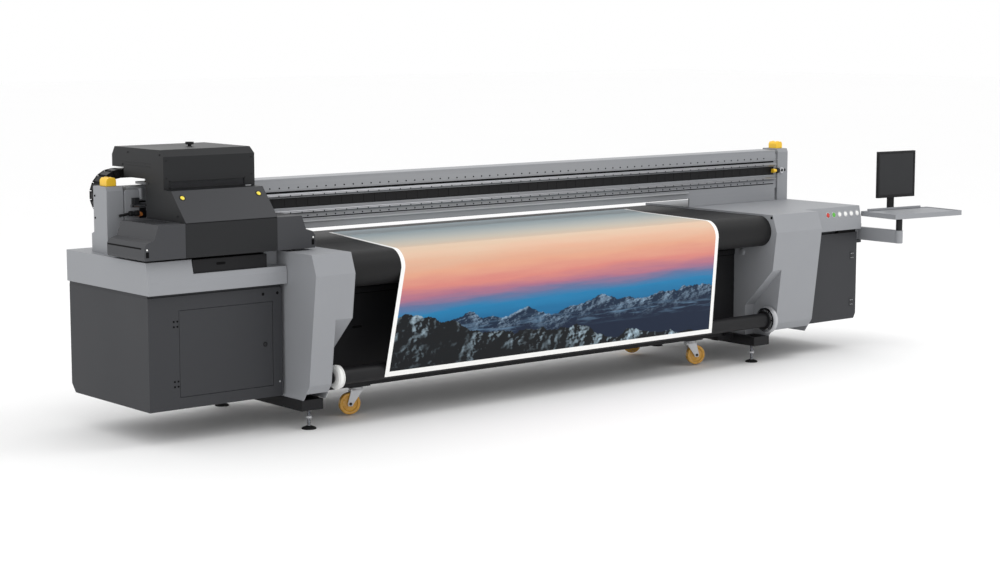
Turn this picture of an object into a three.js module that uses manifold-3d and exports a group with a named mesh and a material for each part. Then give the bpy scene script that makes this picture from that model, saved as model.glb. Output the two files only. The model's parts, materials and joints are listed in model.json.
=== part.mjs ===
// Hybrid flatbed UV printer: a belt table between two side cabinets, a beam on two towers, a print
// carriage that slides along the beam, a take-up shaft in front and a monitor on a swing arm.
// Millimetres. While the machine is drawn, x runs from its middle to the right, y from the row of
// front feet to the back and z up from the floor. The last lines move the origin to the middle of
// the footprint.
import * as THREE from 'three';
import { mergeVertices } from 'three/addons/utils/BufferGeometryUtils.js';
import Module from 'manifold-3d';

const wasm = await Module();
wasm.setup();

// ---------------------------------------------------------------- driving dimensions
const GAP = 0.3;                 // between pieces that touch
const SHEET = 3;                 // sheet-metal wall
const ROUND = 40;                // sides of a round piece

const FEET_X = 1790;             // feet stand at +-FEET_X
const DEPTH = 912;               // front feet to rear feet
const SLED = { middle: 1812, half: 72, front: -70, rear: 985, low: 118, high: 178 };
const RAIL = { half: 1610, front: 100, width: 100, low: 180, high: 260 };
const OUTRIGGER = { front: 601, rear: 777, low: 130, far: 2430 };

const TABLE = { left: -1616, right: 1783, top: 988, noseRadius: 100, belt: 4 };
const NOSE_FRONT_Y = -70;
const NOSE_REAR_Y = DEPTH - NOSE_FRONT_Y;
const NOSE_Z = TABLE.top - TABLE.noseRadius;
const PANEL = { front: 160, low: 280, high: 750, thick: 8 };

const DESK_TOP = 1000;
const PILLAR = { low: SLED.high + GAP, rear: 1030, leftOuter: -1880, rightOuter: 2225 };
const RECESS = { leftDepth: 115, rightDepth: 85 };

const LEFT_CAB = { x0: -2750, x1: -1902, y0: 89, y1: 954, z0: 190, z1: 805 };
const LEFT_DOOR = { x0: -2560, x1: -1965, z0: 255, z1: 725, thick: 18 };
const HOOD = { x0: -2760, x1: -1884, y0: 59, y1: 960, z0: 822, edge: 890 };
const STATION = { x0: -2480, x1: -2000, floor: 921, front: 78, rear: 560 };

const RIGHT_CAB = { x0: 2225.3, x1: 2787, y0: -21, y1: 954, z0: 208, z1: 839.7 };
const RIGHT_DOOR = { x0: 2240, x1: 2790, y0: -40, z0: 212, z1: 817 };
const DESK = { x0: 2225.3, x1: 2790, y0: -75, y1: 957, z0: 840, edge: 905, slope: 20 };
const BUTTON = { radius: 16, proud: 5, travel: 4, first: 2455, pitch: 60, z: 950 };

// The beam and its towers stand a little to the right of the feet's middle.
const GANTRY_X = 37;
const TOWER = { inner: 2630, outer: 2735, front: 601, rear: 750, foot: 777, shoulder: 1100, top: 1365 };
const STOP = { inner: 2652, outer: 2714, front: 637, rear: 713, height: 47 };
const BEAM = { half: 2604, front: 601, rear: 750, low: 1057, high: 1357, wall: 8 };
const GUIDE = { height: 22, proud: 25, low: 1156, high: 1256 };

const KNOB = [-2217, 518];
const CARRIAGE = { x0: -2538, x1: -1957, front: 40, low: 1012, rear: 450 };
const TROLLEY = { x0: -2470, x1: -2026, front: 454, thick: 40, low: 1125, high: 1376 };
const LAMP_FLARE = { top: 163, mid: 191, out: 252 };

const CHAIN = { y0: 757, y1: 857, outer: 145, band: 50, x: -2520, z: 1304, fixedX: -300 };
const WEB = { y: -85, z: 290, radius: 47 };
const FEED_Y = 937;
const MEDIA = { thick: 1.2, rear: 860, foot: 262, rearLeft: -1041, rearRight: 1439, beamLeft: -1104,
  beamRight: 1370, noseLeft: -1264, noseRight: 1287, footLeft: -1360, footRight: 1272 };

const CASTER = { x: 1360, radius: 64, z: 74, trail: 38, turn: -19, plate: 7 };
const ARM = { x: 2876, pivotY: 40, reach: 380, low: 753, height: 88 };
const TRAY = { width: 635, depth: 340, thick: 34, low: 921, turn: -6, socketX: -248, socketY: -135 };
const MONITOR = { width: 354, height: 324, thick: 24, low: 1037, x: 9, tilt: 127 };
const SCREEN_POST = { x: -3, y: 204, width: 38, depth: 24 };

// ---------------------------------------------------------------- materials
const finish = (color, roughness, metalness) =>
  new THREE.MeshStandardMaterial({ color, roughness, metalness });
const GREY = finish(0x94969b, 0.5, 0.2);
const DARK = finish(0x424345, 0.55, 0.2);
const BLACK = finish(0x232425, 0.6, 0.1);
const CARRIAGE_BLACK = finish(0x2f3032, 0.5, 0.2);
const ALUMINIUM = finish(0xa9abae, 0.35, 0.8);
const STEEL = finish(0xc8c8c8, 0.25, 0.9);
const RUBBER = finish(0x1b1b1c, 0.85, 0);
const AMBER = finish(0xc8922c, 0.4, 0);
const YELLOW = finish(0xf5c530, 0.45, 0);
const WHITE = finish(0xf3f3f0, 0.6, 0);
const RED = finish(0xc03028, 0.4, 0);
const GREEN = finish(0x58b040, 0.4, 0);

// ---------------------------------------------------------------- shape helpers
const UP = new THREE.Vector3(0, 0, 1);
const X = new THREE.Vector3(1, 0, 0);
const Y = new THREE.Vector3(0, 1, 0);

function toSolid(geometry) {
  const bare = geometry.clone();
  bare.deleteAttribute('normal');
  bare.deleteAttribute('uv');
  const merged = mergeVertices(bare, 1e-4);
  return new wasm.Manifold(new wasm.Mesh({
    numProp: 3,
    vertProperties: new Float32Array(merged.attributes.position.array),
    triVerts: new Uint32Array(merged.index.array),
  }));
}

function toGeometry(solid) {
  const mesh = solid.getMesh();
  const geometry = new THREE.BufferGeometry();
  geometry.setAttribute('position', new THREE.BufferAttribute(new Float32Array(mesh.vertProperties), 3));
  geometry.setIndex(new THREE.BufferAttribute(new Uint32Array(mesh.triVerts), 1));
  geometry.computeVertexNormals();
  return geometry;
}

const join = (...shapes) => toGeometry(shapes.map(toSolid).reduce((a, b) => a.add(b)));
const cut = (shape, ...tools) =>
  toGeometry(tools.map(toSolid).reduce((a, b) => a.subtract(b), toSolid(shape)));

function box(x0, x1, y0, y1, z0, z1) {
  const geometry = new THREE.BoxGeometry(x1 - x0, y1 - y0, z1 - z0);
  return geometry.translate((x0 + x1) / 2, (y0 + y1) / 2, (z0 + z1) / 2);
}

// A round bar from one point, along an axis.
function rod(radius, length, from, axis = UP, sides = ROUND) {
  const geometry = new THREE.CylinderGeometry(radius, radius, length, sides);
  geometry.translate(0, length / 2, 0);
  geometry.applyQuaternion(new THREE.Quaternion().setFromUnitVectors(Y, axis));
  return geometry.translate(...from);
}

// A turned piece about an axis through a point; profile points are [radius, along].
function turned(profile, at, axis = UP, sides = ROUND) {
  const points = profile.map(([r, h]) => new THREE.Vector2(r, h));
  const geometry = new THREE.LatheGeometry(points, sides);
  geometry.applyQuaternion(new THREE.Quaternion().setFromUnitVectors(Y, axis));
  return geometry.translate(...at);
}

const toShape = (points) => new THREE.Shape(points.map(([a, b]) => new THREE.Vector2(a, b)));

function extrude(shape, depth) {
  const flat = Array.isArray(shape) ? toShape(shape) : shape;
  return new THREE.ExtrudeGeometry(flat, { depth, bevelEnabled: false, curveSegments: 16 });
}

// Extrusions along each axis: outline points are (y, z), (x, z) and (x, y).
function alongX(shape, x0, x1) {
  const turn = new THREE.Matrix4().makeBasis(Y, UP, X);
  return extrude(shape, x1 - x0).applyMatrix4(turn).translate(x0, 0, 0);
}

function alongY(shape, y0, y1) {
  const turn = new THREE.Matrix4().makeBasis(X, UP, new THREE.Vector3(0, -1, 0));
  return extrude(shape, y1 - y0).applyMatrix4(turn).translate(0, y1, 0);
}

function alongZ(shape, z0, z1) {
  return extrude(shape, z1 - z0).translate(0, 0, z0);
}

// Moves every side of an outline inwards (anticlockwise points) by a distance.
function inset(points, distance) {
  return points.map((corner, i) => {
    const before = points[(i + points.length - 1) % points.length];
    const after = points[(i + 1) % points.length];
    const a = new THREE.Vector2(corner[0] - before[0], corner[1] - before[1]).normalize();
    const b = new THREE.Vector2(after[0] - corner[0], after[1] - corner[1]).normalize();
    const scale = distance / (1 + a.dot(b));
    return [corner[0] - (a.y + b.y) * scale, corner[1] + (a.x + b.x) * scale];
  });
}

// ---------------------------------------------------------------- the assembly
const printer = new THREE.Group();
const machine = new THREE.Group();
printer.add(machine);

function add(name, geometry, material, parent = machine) {
  const mesh = new THREE.Mesh(geometry, material);
  mesh.name = name;
  parent.add(mesh);
  return mesh;
}

function groupAt(x, y, z, turn = 0) {
  const group = new THREE.Group();
  group.position.set(x, y, z);
  group.rotation.z = THREE.MathUtils.degToRad(turn);
  machine.add(group);
  return group;
}

// ---------------------------------------------------------------- base: sleds, beams, feet, casters
function baseFrame() {
  const parts = [];
  // A box from the sled out to one side, given by its distances from the machine's middle.
  const reach = (side, near, far, y0, y1, z0, z1) =>
    box(Math.min(side * near, side * far), Math.max(side * near, side * far), y0, y1, z0, z1);
  const o = OUTRIGGER;
  for (const side of [-1, 1]) {
    const middle = side * SLED.middle;
    parts.push(box(middle - SLED.half, middle + SLED.half, SLED.front, SLED.rear, SLED.low, SLED.high));
    parts.push(reach(side, SLED.middle, o.far, o.front, o.rear, o.low, SLED.high));
    const cabinet = side < 0 ? [-LEFT_CAB.x1, LEFT_CAB.z0] : [RIGHT_CAB.x0 + 1, RIGHT_CAB.z0];
    parts.push(reach(side, cabinet[0], o.far, o.front, o.rear, SLED.high - 5, cabinet[1] - GAP));
  }
  const end = RAIL.half;
  for (const y of [RAIL.front, DEPTH - RAIL.front - RAIL.width]) {
    parts.push(box(-end, end, y, y + RAIL.width, RAIL.low, RAIL.high));
    for (const side of [-1, 1]) {
      parts.push(reach(side, end - 20, SLED.middle, y + 20, y + 80, SLED.low + 30, SLED.high));
      parts.push(reach(side, end - 20, end, y + 20, y + 80, SLED.low + 30, RAIL.low + 4));
    }
    const postY = y < DEPTH / 2 ? y + 70 : y;
    for (const x of [-1480, -500, 500, 1480]) {
      parts.push(box(x - 40, x + 40, postY, postY + 30, RAIL.high - 2,
        TABLE.top - 2 * TABLE.noseRadius - GAP));
    }
  }
  for (const [x, y] of casterPlaces()) {
    parts.push(box(x - 74, x + 74, y - 45, y + 45, RAIL.low - CASTER.plate, RAIL.low + 1));
  }
  const bores = [];
  for (const [x, y] of footPlaces()) {
    bores.push(rod(10.5, SLED.high - SLED.low + 2, [x, y, SLED.low - 1], UP, 24));
  }
  return cut(join(...parts), ...bores);
}

function footPlaces() {
  return [[-FEET_X, 0], [FEET_X, 0], [-FEET_X, DEPTH], [FEET_X, DEPTH]];
}

function casterPlaces() {
  const y = RAIL.front + RAIL.width / 2;
  return [[-CASTER.x, y], [CASTER.x, y], [-CASTER.x, DEPTH - y], [CASTER.x, DEPTH - y]];
}

// A levelling foot: domed pad, stem and lock nut, turned as one piece.
function foot() {
  return turned([[0, 0], [42, 0], [42, 5], [30, 12], [12, 19], [10, 22], [10, 60], [17, 60], [17, 73],
    [10, 73], [10, 150], [0, 150]], [0, 0, 0], UP, 28);
}

// A swivel caster's fork hangs from its top plate; the wheel trails behind the swivel axis.
function fork() {
  const top = RAIL.low - CASTER.plate - GAP;
  const legs = [];
  for (const side of [-1, 1]) {
    const outline = [[-34, top - 22], [34, top - 22], [CASTER.trail + 17, CASTER.z],
      [CASTER.trail + 12, CASTER.z - 13], [CASTER.trail - 12, CASTER.z - 13], [CASTER.trail - 18, CASTER.z]];
    legs.push(alongY(outline, side * 24 - 3, side * 24 + 3));
  }
  const crown = rod(36, 16, [0, 0, top - 16], UP, 28);
  const bridge = box(-34, 34, -27, 27, top - 28, top - 14);
  const axle = rod(6, 58, [CASTER.trail, -29, CASTER.z], Y, 20);
  return join(crown, bridge, ...legs, axle);
}

function wheel() {
  const r = CASTER.radius;
  return turned([[6.3, -19], [16, -19], [18, -16], [r - 12, -16], [r - 9, -19], [r - 4, -19], [r, -14],
    [r, 14], [r - 4, 19], [r - 9, 19], [r - 12, 16], [18, 16], [16, 19], [6.3, 19], [6.3, -19]],
    [0, 0, 0], Y, 36);
}

function placeRunningGear() {
  const names = ['front_left', 'front_right', 'rear_left', 'rear_right'];
  footPlaces().forEach(([x, y], i) => {
    add(`${names[i]}_foot`, foot(), STEEL, groupAt(x, y, 0));
  });
  casterPlaces().forEach(([x, y], i) => {
    const caster = groupAt(x, y, 0, x < 0 ? 180 + CASTER.turn : CASTER.turn);
    add(`${names[i]}_caster_fork`, fork(), STEEL, caster);
    const hub = new THREE.Group();
    hub.position.set(CASTER.trail, 0, CASTER.z);
    caster.add(hub);
    add(`${names[i]}_caster_wheel`, wheel(), AMBER, hub);
  });
}

// ---------------------------------------------------------------- pillars beside the table
const PILLAR_SIDE = [[-81, PILLAR.low], [PILLAR.rear, PILLAR.low], [PILLAR.rear, DESK_TOP],
  [-178, DESK_TOP], [-218, 885], [-141, 266]];
// Below this slanted line the inner wall steps back to make room for the take-up shaft's chuck.
const RECESS_SIDE = [[-260, 100], [58, 100], [58, 378], [-260, 708]];

function shaftBores(x0, x1) {
  const bores = [NOSE_FRONT_Y, NOSE_REAR_Y].map((y) => rod(21, x1 - x0, [x0, y, NOSE_Z], X, 28));
  bores.push(rod(16, x1 - x0, [x0, WEB.y, WEB.z], X, 28));
  bores.push(rod(16, x1 - x0, [x0, FEED_Y, WEB.z], X, 28));
  return bores;
}

function pillar(x0, x1, recessX0, recessX1) {
  const wall = 4;
  const inner = inset(PILLAR_SIDE, wall);
  inner[0][1] = PILLAR.low - 10;
  inner[1][1] = PILLAR.low - 10;
  const outside = cut(alongX(PILLAR_SIDE, x0, x1), alongX(RECESS_SIDE, recessX0, recessX1));
  const grown = inset(RECESS_SIDE, -wall);
  const inside = cut(alongX(inner, x0 + wall, x1 - wall),
    alongX(grown, recessX0 - wall, recessX1 + wall));
  return cut(outside, inside);
}

const leftPillar = cut(
  pillar(PILLAR.leftOuter, TABLE.left, TABLE.left - RECESS.leftDepth, TABLE.left + 10),
  ...shaftBores(TABLE.left - RECESS.leftDepth - 10, TABLE.left + 10));
const rightPillar = cut(
  pillar(TABLE.right, PILLAR.rightOuter, TABLE.right - 10, TABLE.right + RECESS.rightDepth),
  ...shaftBores(TABLE.right - 10, TABLE.right + RECESS.rightDepth + 10));

// ---------------------------------------------------------------- left cabinet, hood and station
function leftCabinet() {
  const c = LEFT_CAB;
  const side = [[c.y0, c.z0], [c.y1 - 42, c.z0], [c.y1, c.z0 + 50], [c.y1, c.z1], [c.y0, c.z1]];
  const hollow = inset(side, SHEET);
  hollow[3][1] = c.z1 + 5;
  hollow[4][1] = c.z1 + 5;
  const d = LEFT_DOOR;
  const doorway = box(d.x0 - 2, d.x1 + 2, c.y0 - 5, c.y0 + 30, d.z0 - 2, d.z1 + 2);
  const shell = cut(alongX(side, c.x0, c.x1), alongX(hollow, c.x0 + SHEET, c.x1 - SHEET), doorway);
  const collar = cut(box(c.x0 + 1, c.x1 - 1, c.y0 + 10, c.y1 - 1, c.z1 - 20, HOOD.z0 - GAP),
    box(c.x0 + 8, c.x1 - 8, c.y0 + 17, c.y1 - 8, c.z1 - 30, HOOD.z0 + 10));
  const shelf = box(c.x0 + 1, c.x1 - 1, c.y0 + 120, c.y0 + 480, 470, 474);
  return join(shell, collar, shelf);
}

// The hole in a hood where its tower comes through.
function towerNotch(x0, x1, low) {
  const x = [x0 - 2 + GANTRY_X, x1 + 2 + GANTRY_X];
  return box(...x, TOWER.front - 2, TOWER.foot + 2, low - 10, DESK_TOP + 10);
}

function leftHood() {
  const h = HOOD;
  const side = [[h.y0, h.z0], [h.y1, h.z0], [h.y1, DESK_TOP - 2], [h.y0 + 26, DESK_TOP - 2], [h.y0, h.edge]];
  const hollow = inset(side, SHEET);
  hollow[0][1] = h.z0 - 10;
  hollow[1][1] = h.z0 - 10;
  const s = STATION;
  const bay = (grow) => join(
    alongY([[s.x0 - grow, s.floor - grow], [s.x1 + grow, s.floor - grow], [s.x1 + 50 + grow, DESK_TOP + 40],
      [s.x0 - grow, DESK_TOP + 40]], h.y0 - 20 - grow, s.rear + grow),
    box(s.x0 - grow, h.x1 + 20, h.y0 - 20 - grow, 160 + grow, s.floor - grow, DESK_TOP + 40));
  const outside = cut(alongX(side, h.x0, h.x1), bay(0));
  const inside = cut(alongX(hollow, h.x0 + SHEET, h.x1 - SHEET), bay(SHEET));
  const notch = towerNotch(-TOWER.outer, -TOWER.inner, h.z0);
  return cut(outside, inside, notch);
}

// The capping station: a trough where the print heads park, closed in front by a panel.
function station() {
  const s = STATION;
  const body = box(s.x0 + 4, s.x1 - 4, s.front, s.rear - 4, s.floor + GAP, DESK_TOP - 4);
  const trough = box(s.x0 + 40, s.x1 - 40, s.front + 60, s.rear - 40, s.floor + 30, DESK_TOP + 10);
  return cut(body, trough);
}

function leftDoor() {
  const d = LEFT_DOOR;
  const plate = box(d.x0, d.x1, LEFT_CAB.y0, LEFT_CAB.y0 + d.thick, d.z0, d.z1);
  const pan = box(d.x0 + 20, d.x1 - 20, LEFT_CAB.y0 + SHEET, LEFT_CAB.y0 + d.thick + 5, d.z0 + 20, d.z1 - 20);
  return cut(plate, pan);
}

// ---------------------------------------------------------------- right cabinet and desk
function rightCabinet() {
  const c = RIGHT_CAB;
  const shell = cut(box(c.x0, c.x1, c.y0, c.y1, c.z0, c.z1),
    box(c.x0 + SHEET, c.x1 - SHEET, c.y0 - 5, c.y1 - SHEET, c.z0 + SHEET, c.z1 + 5));
  const lintel = box(c.x0 + 1, c.x1 - 1, c.y0, c.y0 + 30, c.z1 - 24, c.z1);
  const plate = box(c.x0 + 1, c.x1 - 1, c.y1 - 60, c.y1 - 56, c.z0 + 80, c.z1 - 60);
  const legs = [c.x0 + 120, c.x1 - 120].map((x) =>
    box(x - 15, x + 15, c.y1 - 58, c.y1 - 1, c.z0 + 100, c.z0 + 130));
  return join(shell, lintel, plate, ...legs, armBracket());
}

function rightDoor() {
  const d = RIGHT_DOOR;
  const y1 = RIGHT_CAB.y0 - 1;
  const outline = [[d.x0, d.z0], [d.x1 - 19, d.z0], [d.x1, d.z0 + 36], [d.x1, d.z1], [d.x0, d.z1]];
  const pan = box(d.x0 + 20, d.x1 - 24, d.y0 + SHEET, y1 + 5, d.z0 + 42, d.z1 - 20);
  return cut(alongY(outline, d.y0, y1), pan);
}

const SLOPE_TURN = Math.atan2(DESK.slope, DESK_TOP - DESK.edge);
const buttonX = (i) => BUTTON.first + BUTTON.pitch * i;
const buttonY = DESK.y0 + (BUTTON.z - DESK.edge) * Math.tan(SLOPE_TURN);

function rightDesk() {
  const d = DESK;
  const side = [[d.y0, d.z0], [d.y1, d.z0], [d.y1, DESK_TOP], [d.y0 + d.slope, DESK_TOP], [d.y0, d.edge]];
  const hollow = inset(side, SHEET);
  hollow[0][1] = d.z0 - 10;
  hollow[1][1] = d.z0 - 10;
  const normal = new THREE.Vector3(0, -Math.cos(SLOPE_TURN), Math.sin(SLOPE_TURN));
  const holes = [0, 1, 2, 3, 4, 5].map((i) => {
    const start = new THREE.Vector3(buttonX(i), buttonY, BUTTON.z).addScaledVector(normal, -20);
    return rod(BUTTON.radius + 0.5, 40, start.toArray(), normal, 28);
  });
  const notch = towerNotch(TOWER.inner, TOWER.outer, d.z0);
  return cut(alongX(side, d.x0, d.x1), alongX(hollow, d.x0 + SHEET, d.x1 - SHEET), notch, ...holes);
}

// A push button's cap stands proud of the sheet and has a retaining flange behind it.
function buttonCap(r, behind, proud) {
  return turned([[0, -behind - 4], [r + 3, -behind - 4], [r + 3, -behind], [r, -behind], [r, proud - 2],
    [r - 3, proud], [0, proud]], [0, 0, 0], UP, 28);
}

// Six buttons along the desk's sloping panel.
function placeButtons() {
  const names = ['red', 'green', 'first_white', 'second_white', 'third_white', 'fourth_white'];
  const colors = [RED, GREEN, WHITE, WHITE, WHITE, WHITE];
  const r = BUTTON.radius;
  const behind = SHEET + BUTTON.travel + 2;
  names.forEach((name, i) => {
    const holder = groupAt(buttonX(i), buttonY, BUTTON.z);
    holder.rotation.x = Math.PI / 2 - SLOPE_TURN;
    const cap = buttonCap(r, behind, BUTTON.proud);
    add(`${name}_button`, cap, colors[i], holder);
  });
}

// ---------------------------------------------------------------- vacuum table, belt and rollers
function beltLoop() {
  const loop = (r) => {
    const shape = new THREE.Shape();
    shape.absarc(NOSE_REAR_Y, NOSE_Z, r, -Math.PI / 2, Math.PI / 2, false);
    shape.absarc(NOSE_FRONT_Y, NOSE_Z, r, Math.PI / 2, Math.PI * 1.5, false);
    return shape;
  };
  const outline = loop(TABLE.noseRadius);
  outline.holes.push(new THREE.Path(loop(TABLE.noseRadius - TABLE.belt).getPoints(16)));
  return alongX(outline, TABLE.left + 2, TABLE.right - 2);
}

function beltRoller(y) {
  const r = TABLE.noseRadius - TABLE.belt - GAP;
  const barrel = rod(r, TABLE.right - TABLE.left - 8, [TABLE.left + 4, y, NOSE_Z], X, 48);
  const shaft = rod(20, TABLE.right - TABLE.left + 2 * 30, [TABLE.left - 30, y, NOSE_Z], X, 28);
  return join(barrel, shaft);
}

function vacuumTable() {
  const reach = TABLE.noseRadius + 12;
  const inner = TABLE.belt + GAP;
  const low = TABLE.top - 2 * TABLE.noseRadius;
  const body = box(TABLE.left + 6, TABLE.right - 6, NOSE_FRONT_Y + reach, NOSE_REAR_Y - reach,
    low + inner, TABLE.top - inner);
  const chambers = [];
  for (let i = 0; i < 4; i += 1) {
    const y = NOSE_FRONT_Y + reach + 20 + i * 203;
    chambers.push(box(TABLE.left, TABLE.right, y, y + 183, low + 24, TABLE.top - 30));
  }
  return cut(body, ...chambers);
}

function accessPanel(y) {
  const p = PANEL;
  return box(TABLE.left + 3, TABLE.right - 3, y, y + p.thick, p.low, p.high);
}

// ---------------------------------------------------------------- beam, guides, towers
function beam() {
  const b = BEAM;
  const outline = toShape([[b.front, b.low], [b.rear, b.low], [b.rear, b.high], [b.front, b.high],
    [b.front, 1282], [b.front + 6, 1278], [b.front + 6, 1272], [b.front, 1268],
    [b.front, 1241], [b.front + 14, 1241], [b.front + 14, 1183], [b.front, 1183],
    [b.front, 1122], [b.front + 6, 1122], [b.front + 6, 1116], [b.front, 1116]]);
  const rooms = [[b.low + b.wall, 1113], [1123, 1262], [1270, b.high - b.wall]];
  for (const [z0, z1] of rooms) {
    const back = b.rear - b.wall;
    outline.holes.push(toShape([[b.front + 24, z0], [b.front + 24, z1], [back, z1], [back, z0]]));
  }
  const [left, right] = [GANTRY_X - b.half, GANTRY_X + b.half];
  const bar = alongX(outline, left, right);
  const brackets = [-1, 1].map((side) => {
    const ends = [side * (b.half - 4), side * (TOWER.inner - GAP)].sort((p, q) => p - q);
    return box(GANTRY_X + ends[0], GANTRY_X + ends[1], b.front + 10, b.rear - 10, b.low + 30, b.high - 30);
  });
  const skirts = [box(left, TABLE.left - 60, b.front, b.front + 12, DESK_TOP + GAP, b.low + 4),
    box(TABLE.right + 4, right, b.front, b.front + 12, DESK_TOP + GAP, b.low + 4)];
  return join(bar, ...brackets, ...skirts);
}

function guideRail(z) {
  const g = GUIDE;
  const y = BEAM.front - GAP;
  const half = g.height / 2;
  const lower = [[y, z - half], [y - 6, z - half], [y - 10, z - half + 5],
    [y - g.proud + 4, z - half + 5], [y - g.proud, z - half + 9]];
  const upper = lower.map(([v, w]) => [v, 2 * z - w]);
  const outline = [...upper, ...lower.reverse()];
  return alongX(outline, GANTRY_X - BEAM.half + 10, GANTRY_X + BEAM.half - 10);
}

function tower(side) {
  const t = TOWER;
  const z0 = side < 0 ? LEFT_CAB.z0 + SHEET + GAP : RIGHT_CAB.z0 + SHEET + GAP;
  const outline = [[t.front, z0], [t.foot, z0], [t.foot, t.shoulder], [t.rear, t.shoulder + 10],
    [t.rear, t.top], [t.front + 10, t.top], [t.front, t.top - 24]];
  const ends = [side * t.inner, side * t.outer].sort((a, b) => a - b);
  return alongX(outline, GANTRY_X + ends[0], GANTRY_X + ends[1]);
}

function stopBlock(side) {
  const s = STOP;
  const ends = [side * s.inner, side * s.outer].sort((a, b) => a - b);
  const z = TOWER.top + GAP;
  const outline = [[ends[0], z], [ends[1], z], [ends[1], z + s.height - 14], [ends[1] - 10, z + s.height],
    [ends[0] + 10, z + s.height], [ends[0], z + s.height - 14]];
  return alongY(outline, s.front, s.rear).translate(GANTRY_X, 0, 0);
}

// ---------------------------------------------------------------- energy chain behind the beam
function chainTray() {
  const low = CHAIN.z - CHAIN.outer - 2;
  const z0 = low - 4;
  const floor = box(-2600, 2600, CHAIN.y0 - 2, CHAIN.y1 + 8, z0, low);
  const fence = box(-2600, 2600, CHAIN.y1 + 4, CHAIN.y1 + 8, z0, low + 45);
  const brackets = [-2200, -1100, 0, 1100, 2200].map((x) =>
    box(x - 25, x + 25, BEAM.rear + GAP, CHAIN.y0 + 60, z0 - 6, z0 + 1));
  return join(floor, fence, ...brackets);
}

function chainLoop() {
  const c = CHAIN;
  const shape = new THREE.Shape();
  const tail = 340;
  shape.moveTo(c.x + tail, c.z + c.outer);
  shape.lineTo(c.x, c.z + c.outer);
  shape.absarc(c.x, c.z, c.outer, Math.PI / 2, Math.PI * 1.5, false);
  shape.lineTo(c.x + 8, c.z - c.outer);
  shape.lineTo(c.x + 8, c.z - c.outer + c.band);
  shape.absarc(c.x, c.z, c.outer - c.band, Math.PI * 1.5, Math.PI / 2, true);
  shape.lineTo(c.x + tail, c.z + c.outer - c.band);
  return alongY(shape, c.y0, c.y1);
}

function chainLowerRun() {
  const c = CHAIN;
  return box(c.x + 9, c.fixedX, c.y0, c.y1, c.z - c.outer, c.z - c.outer + c.band);
}

// ---------------------------------------------------------------- trolley and carriage
function trolley() {
  const t = TROLLEY;
  const back = t.front + t.thick;
  const plate = box(t.x0, t.x1, t.front, back, t.low, t.high);
  const hook = box(t.x0 + 60, t.x1 - 60, back - 2, BEAM.rear + 40, t.high - 16, t.high - 2);
  const drop = box(t.x0 + 120, t.x1 - 120, BEAM.rear + 5, BEAM.rear + 7 + 33, t.high - 16, t.high + 18);
  const blocks = [];
  for (const z of [GUIDE.low, GUIDE.high]) {
    for (const x of [t.x0 + 14, t.x1 - 134]) {
      blocks.push(box(x, x + 120, back - 2, BEAM.front - 4, z - 32, z + 32));
    }
  }
  const clear = 0.6;
  const y = BEAM.front - GUIDE.proud - GAP - clear;
  const slots = [GUIDE.low, GUIDE.high].map((z) =>
    box(t.x0 - 5, t.x1 + 5, y, BEAM.front, z - GUIDE.height / 2 - clear, z + GUIDE.height / 2 + clear));
  return cut(join(plate, hook, drop, ...blocks), ...slots);
}

function carriageHousing() {
  const c = CARRIAGE;
  const side = [[c.front, c.low], [c.rear, c.low], [c.rear, 1412], [690, 1412], [690, 1464], [818, 1464],
    [818, 1530], [787, 1576], [308, 1576], [262, 1541], [262, 1363], [185, 1359], [c.front, 1198]];
  const hollow = inset(side, SHEET);
  hollow[0][1] = c.low - 10;
  hollow[1][1] = c.low - 10;
  const shell = cut(alongX(side, c.x0, c.x1), alongX(hollow, c.x0 + SHEET, c.x1 - SHEET));
  const grille = box(c.x0 + 42, c.x1 - 68, 250, 275, 1372, 1406);
  const bay = box(c.x0 + 30, c.x1 - 30, c.rear - 20, c.rear + 10, c.low + 120, 1380);
  const holes = pauseButtonX().map((x) => pauseButtonRod(x, PAUSE.radius + 0.5, 30, -15));
  const knob = join(rod(9, 16, [...KNOB, 1574], UP, 24), rod(24, 12, [...KNOB, 1588], UP, 28));
  return join(cut(shell, grille, bay, ...holes), knob);
}

// The lighter cover on the sloping front, held off the housing by its gap.
function frontCover() {
  const c = CARRIAGE;
  const top = [185, 1359];
  const foot = [c.front, 1198];
  const along = new THREE.Vector2(top[0] - foot[0], top[1] - foot[1]).normalize();
  const out = new THREE.Vector2(-along.y, along.x);
  const at = (p, d) => [p[0] + out.x * d, p[1] + out.y * d];
  const outline = [at(foot, GAP), at(top, GAP), at(top, GAP + SHEET), at(foot, GAP + SHEET)];
  const sheet = alongX(outline, c.x0, c.x1);
  const holes = pauseButtonX().map((x) => pauseButtonRod(x, PAUSE.radius + 0.5, 30, -15));
  return cut(sheet, ...holes);
}

const SLOPE = { low: [CARRIAGE.front, 1198], high: [185, 1359] };
const SLOPE_LIFT = Math.atan2(SLOPE.high[0] - SLOPE.low[0], SLOPE.high[1] - SLOPE.low[1]);
const PAUSE = { y: 152, z: 1322, radius: 13, edge: 48, behind: 9, proud: 8 };

function pauseButtonX() {
  return [CARRIAGE.x0 + PAUSE.edge, CARRIAGE.x1 - PAUSE.edge];
}

function pauseButtonRod(x, radius, length, from) {
  const normal = new THREE.Vector3(0, -Math.cos(SLOPE_LIFT), Math.sin(SLOPE_LIFT));
  const start = new THREE.Vector3(x, PAUSE.y, PAUSE.z).addScaledVector(normal, from);
  return rod(radius, length, start.toArray(), normal, 28);
}

function placePauseButtons() {
  ['left', 'right'].forEach((name, i) => {
    const holder = groupAt(pauseButtonX()[i], PAUSE.y, PAUSE.z);
    holder.rotation.x = Math.PI / 2 - SLOPE_LIFT;
    const r = PAUSE.radius;
    const cap = buttonCap(r, PAUSE.behind, PAUSE.proud);
    add(`${name}_pause_button`, cap, YELLOW, holder);
  });
}

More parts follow.
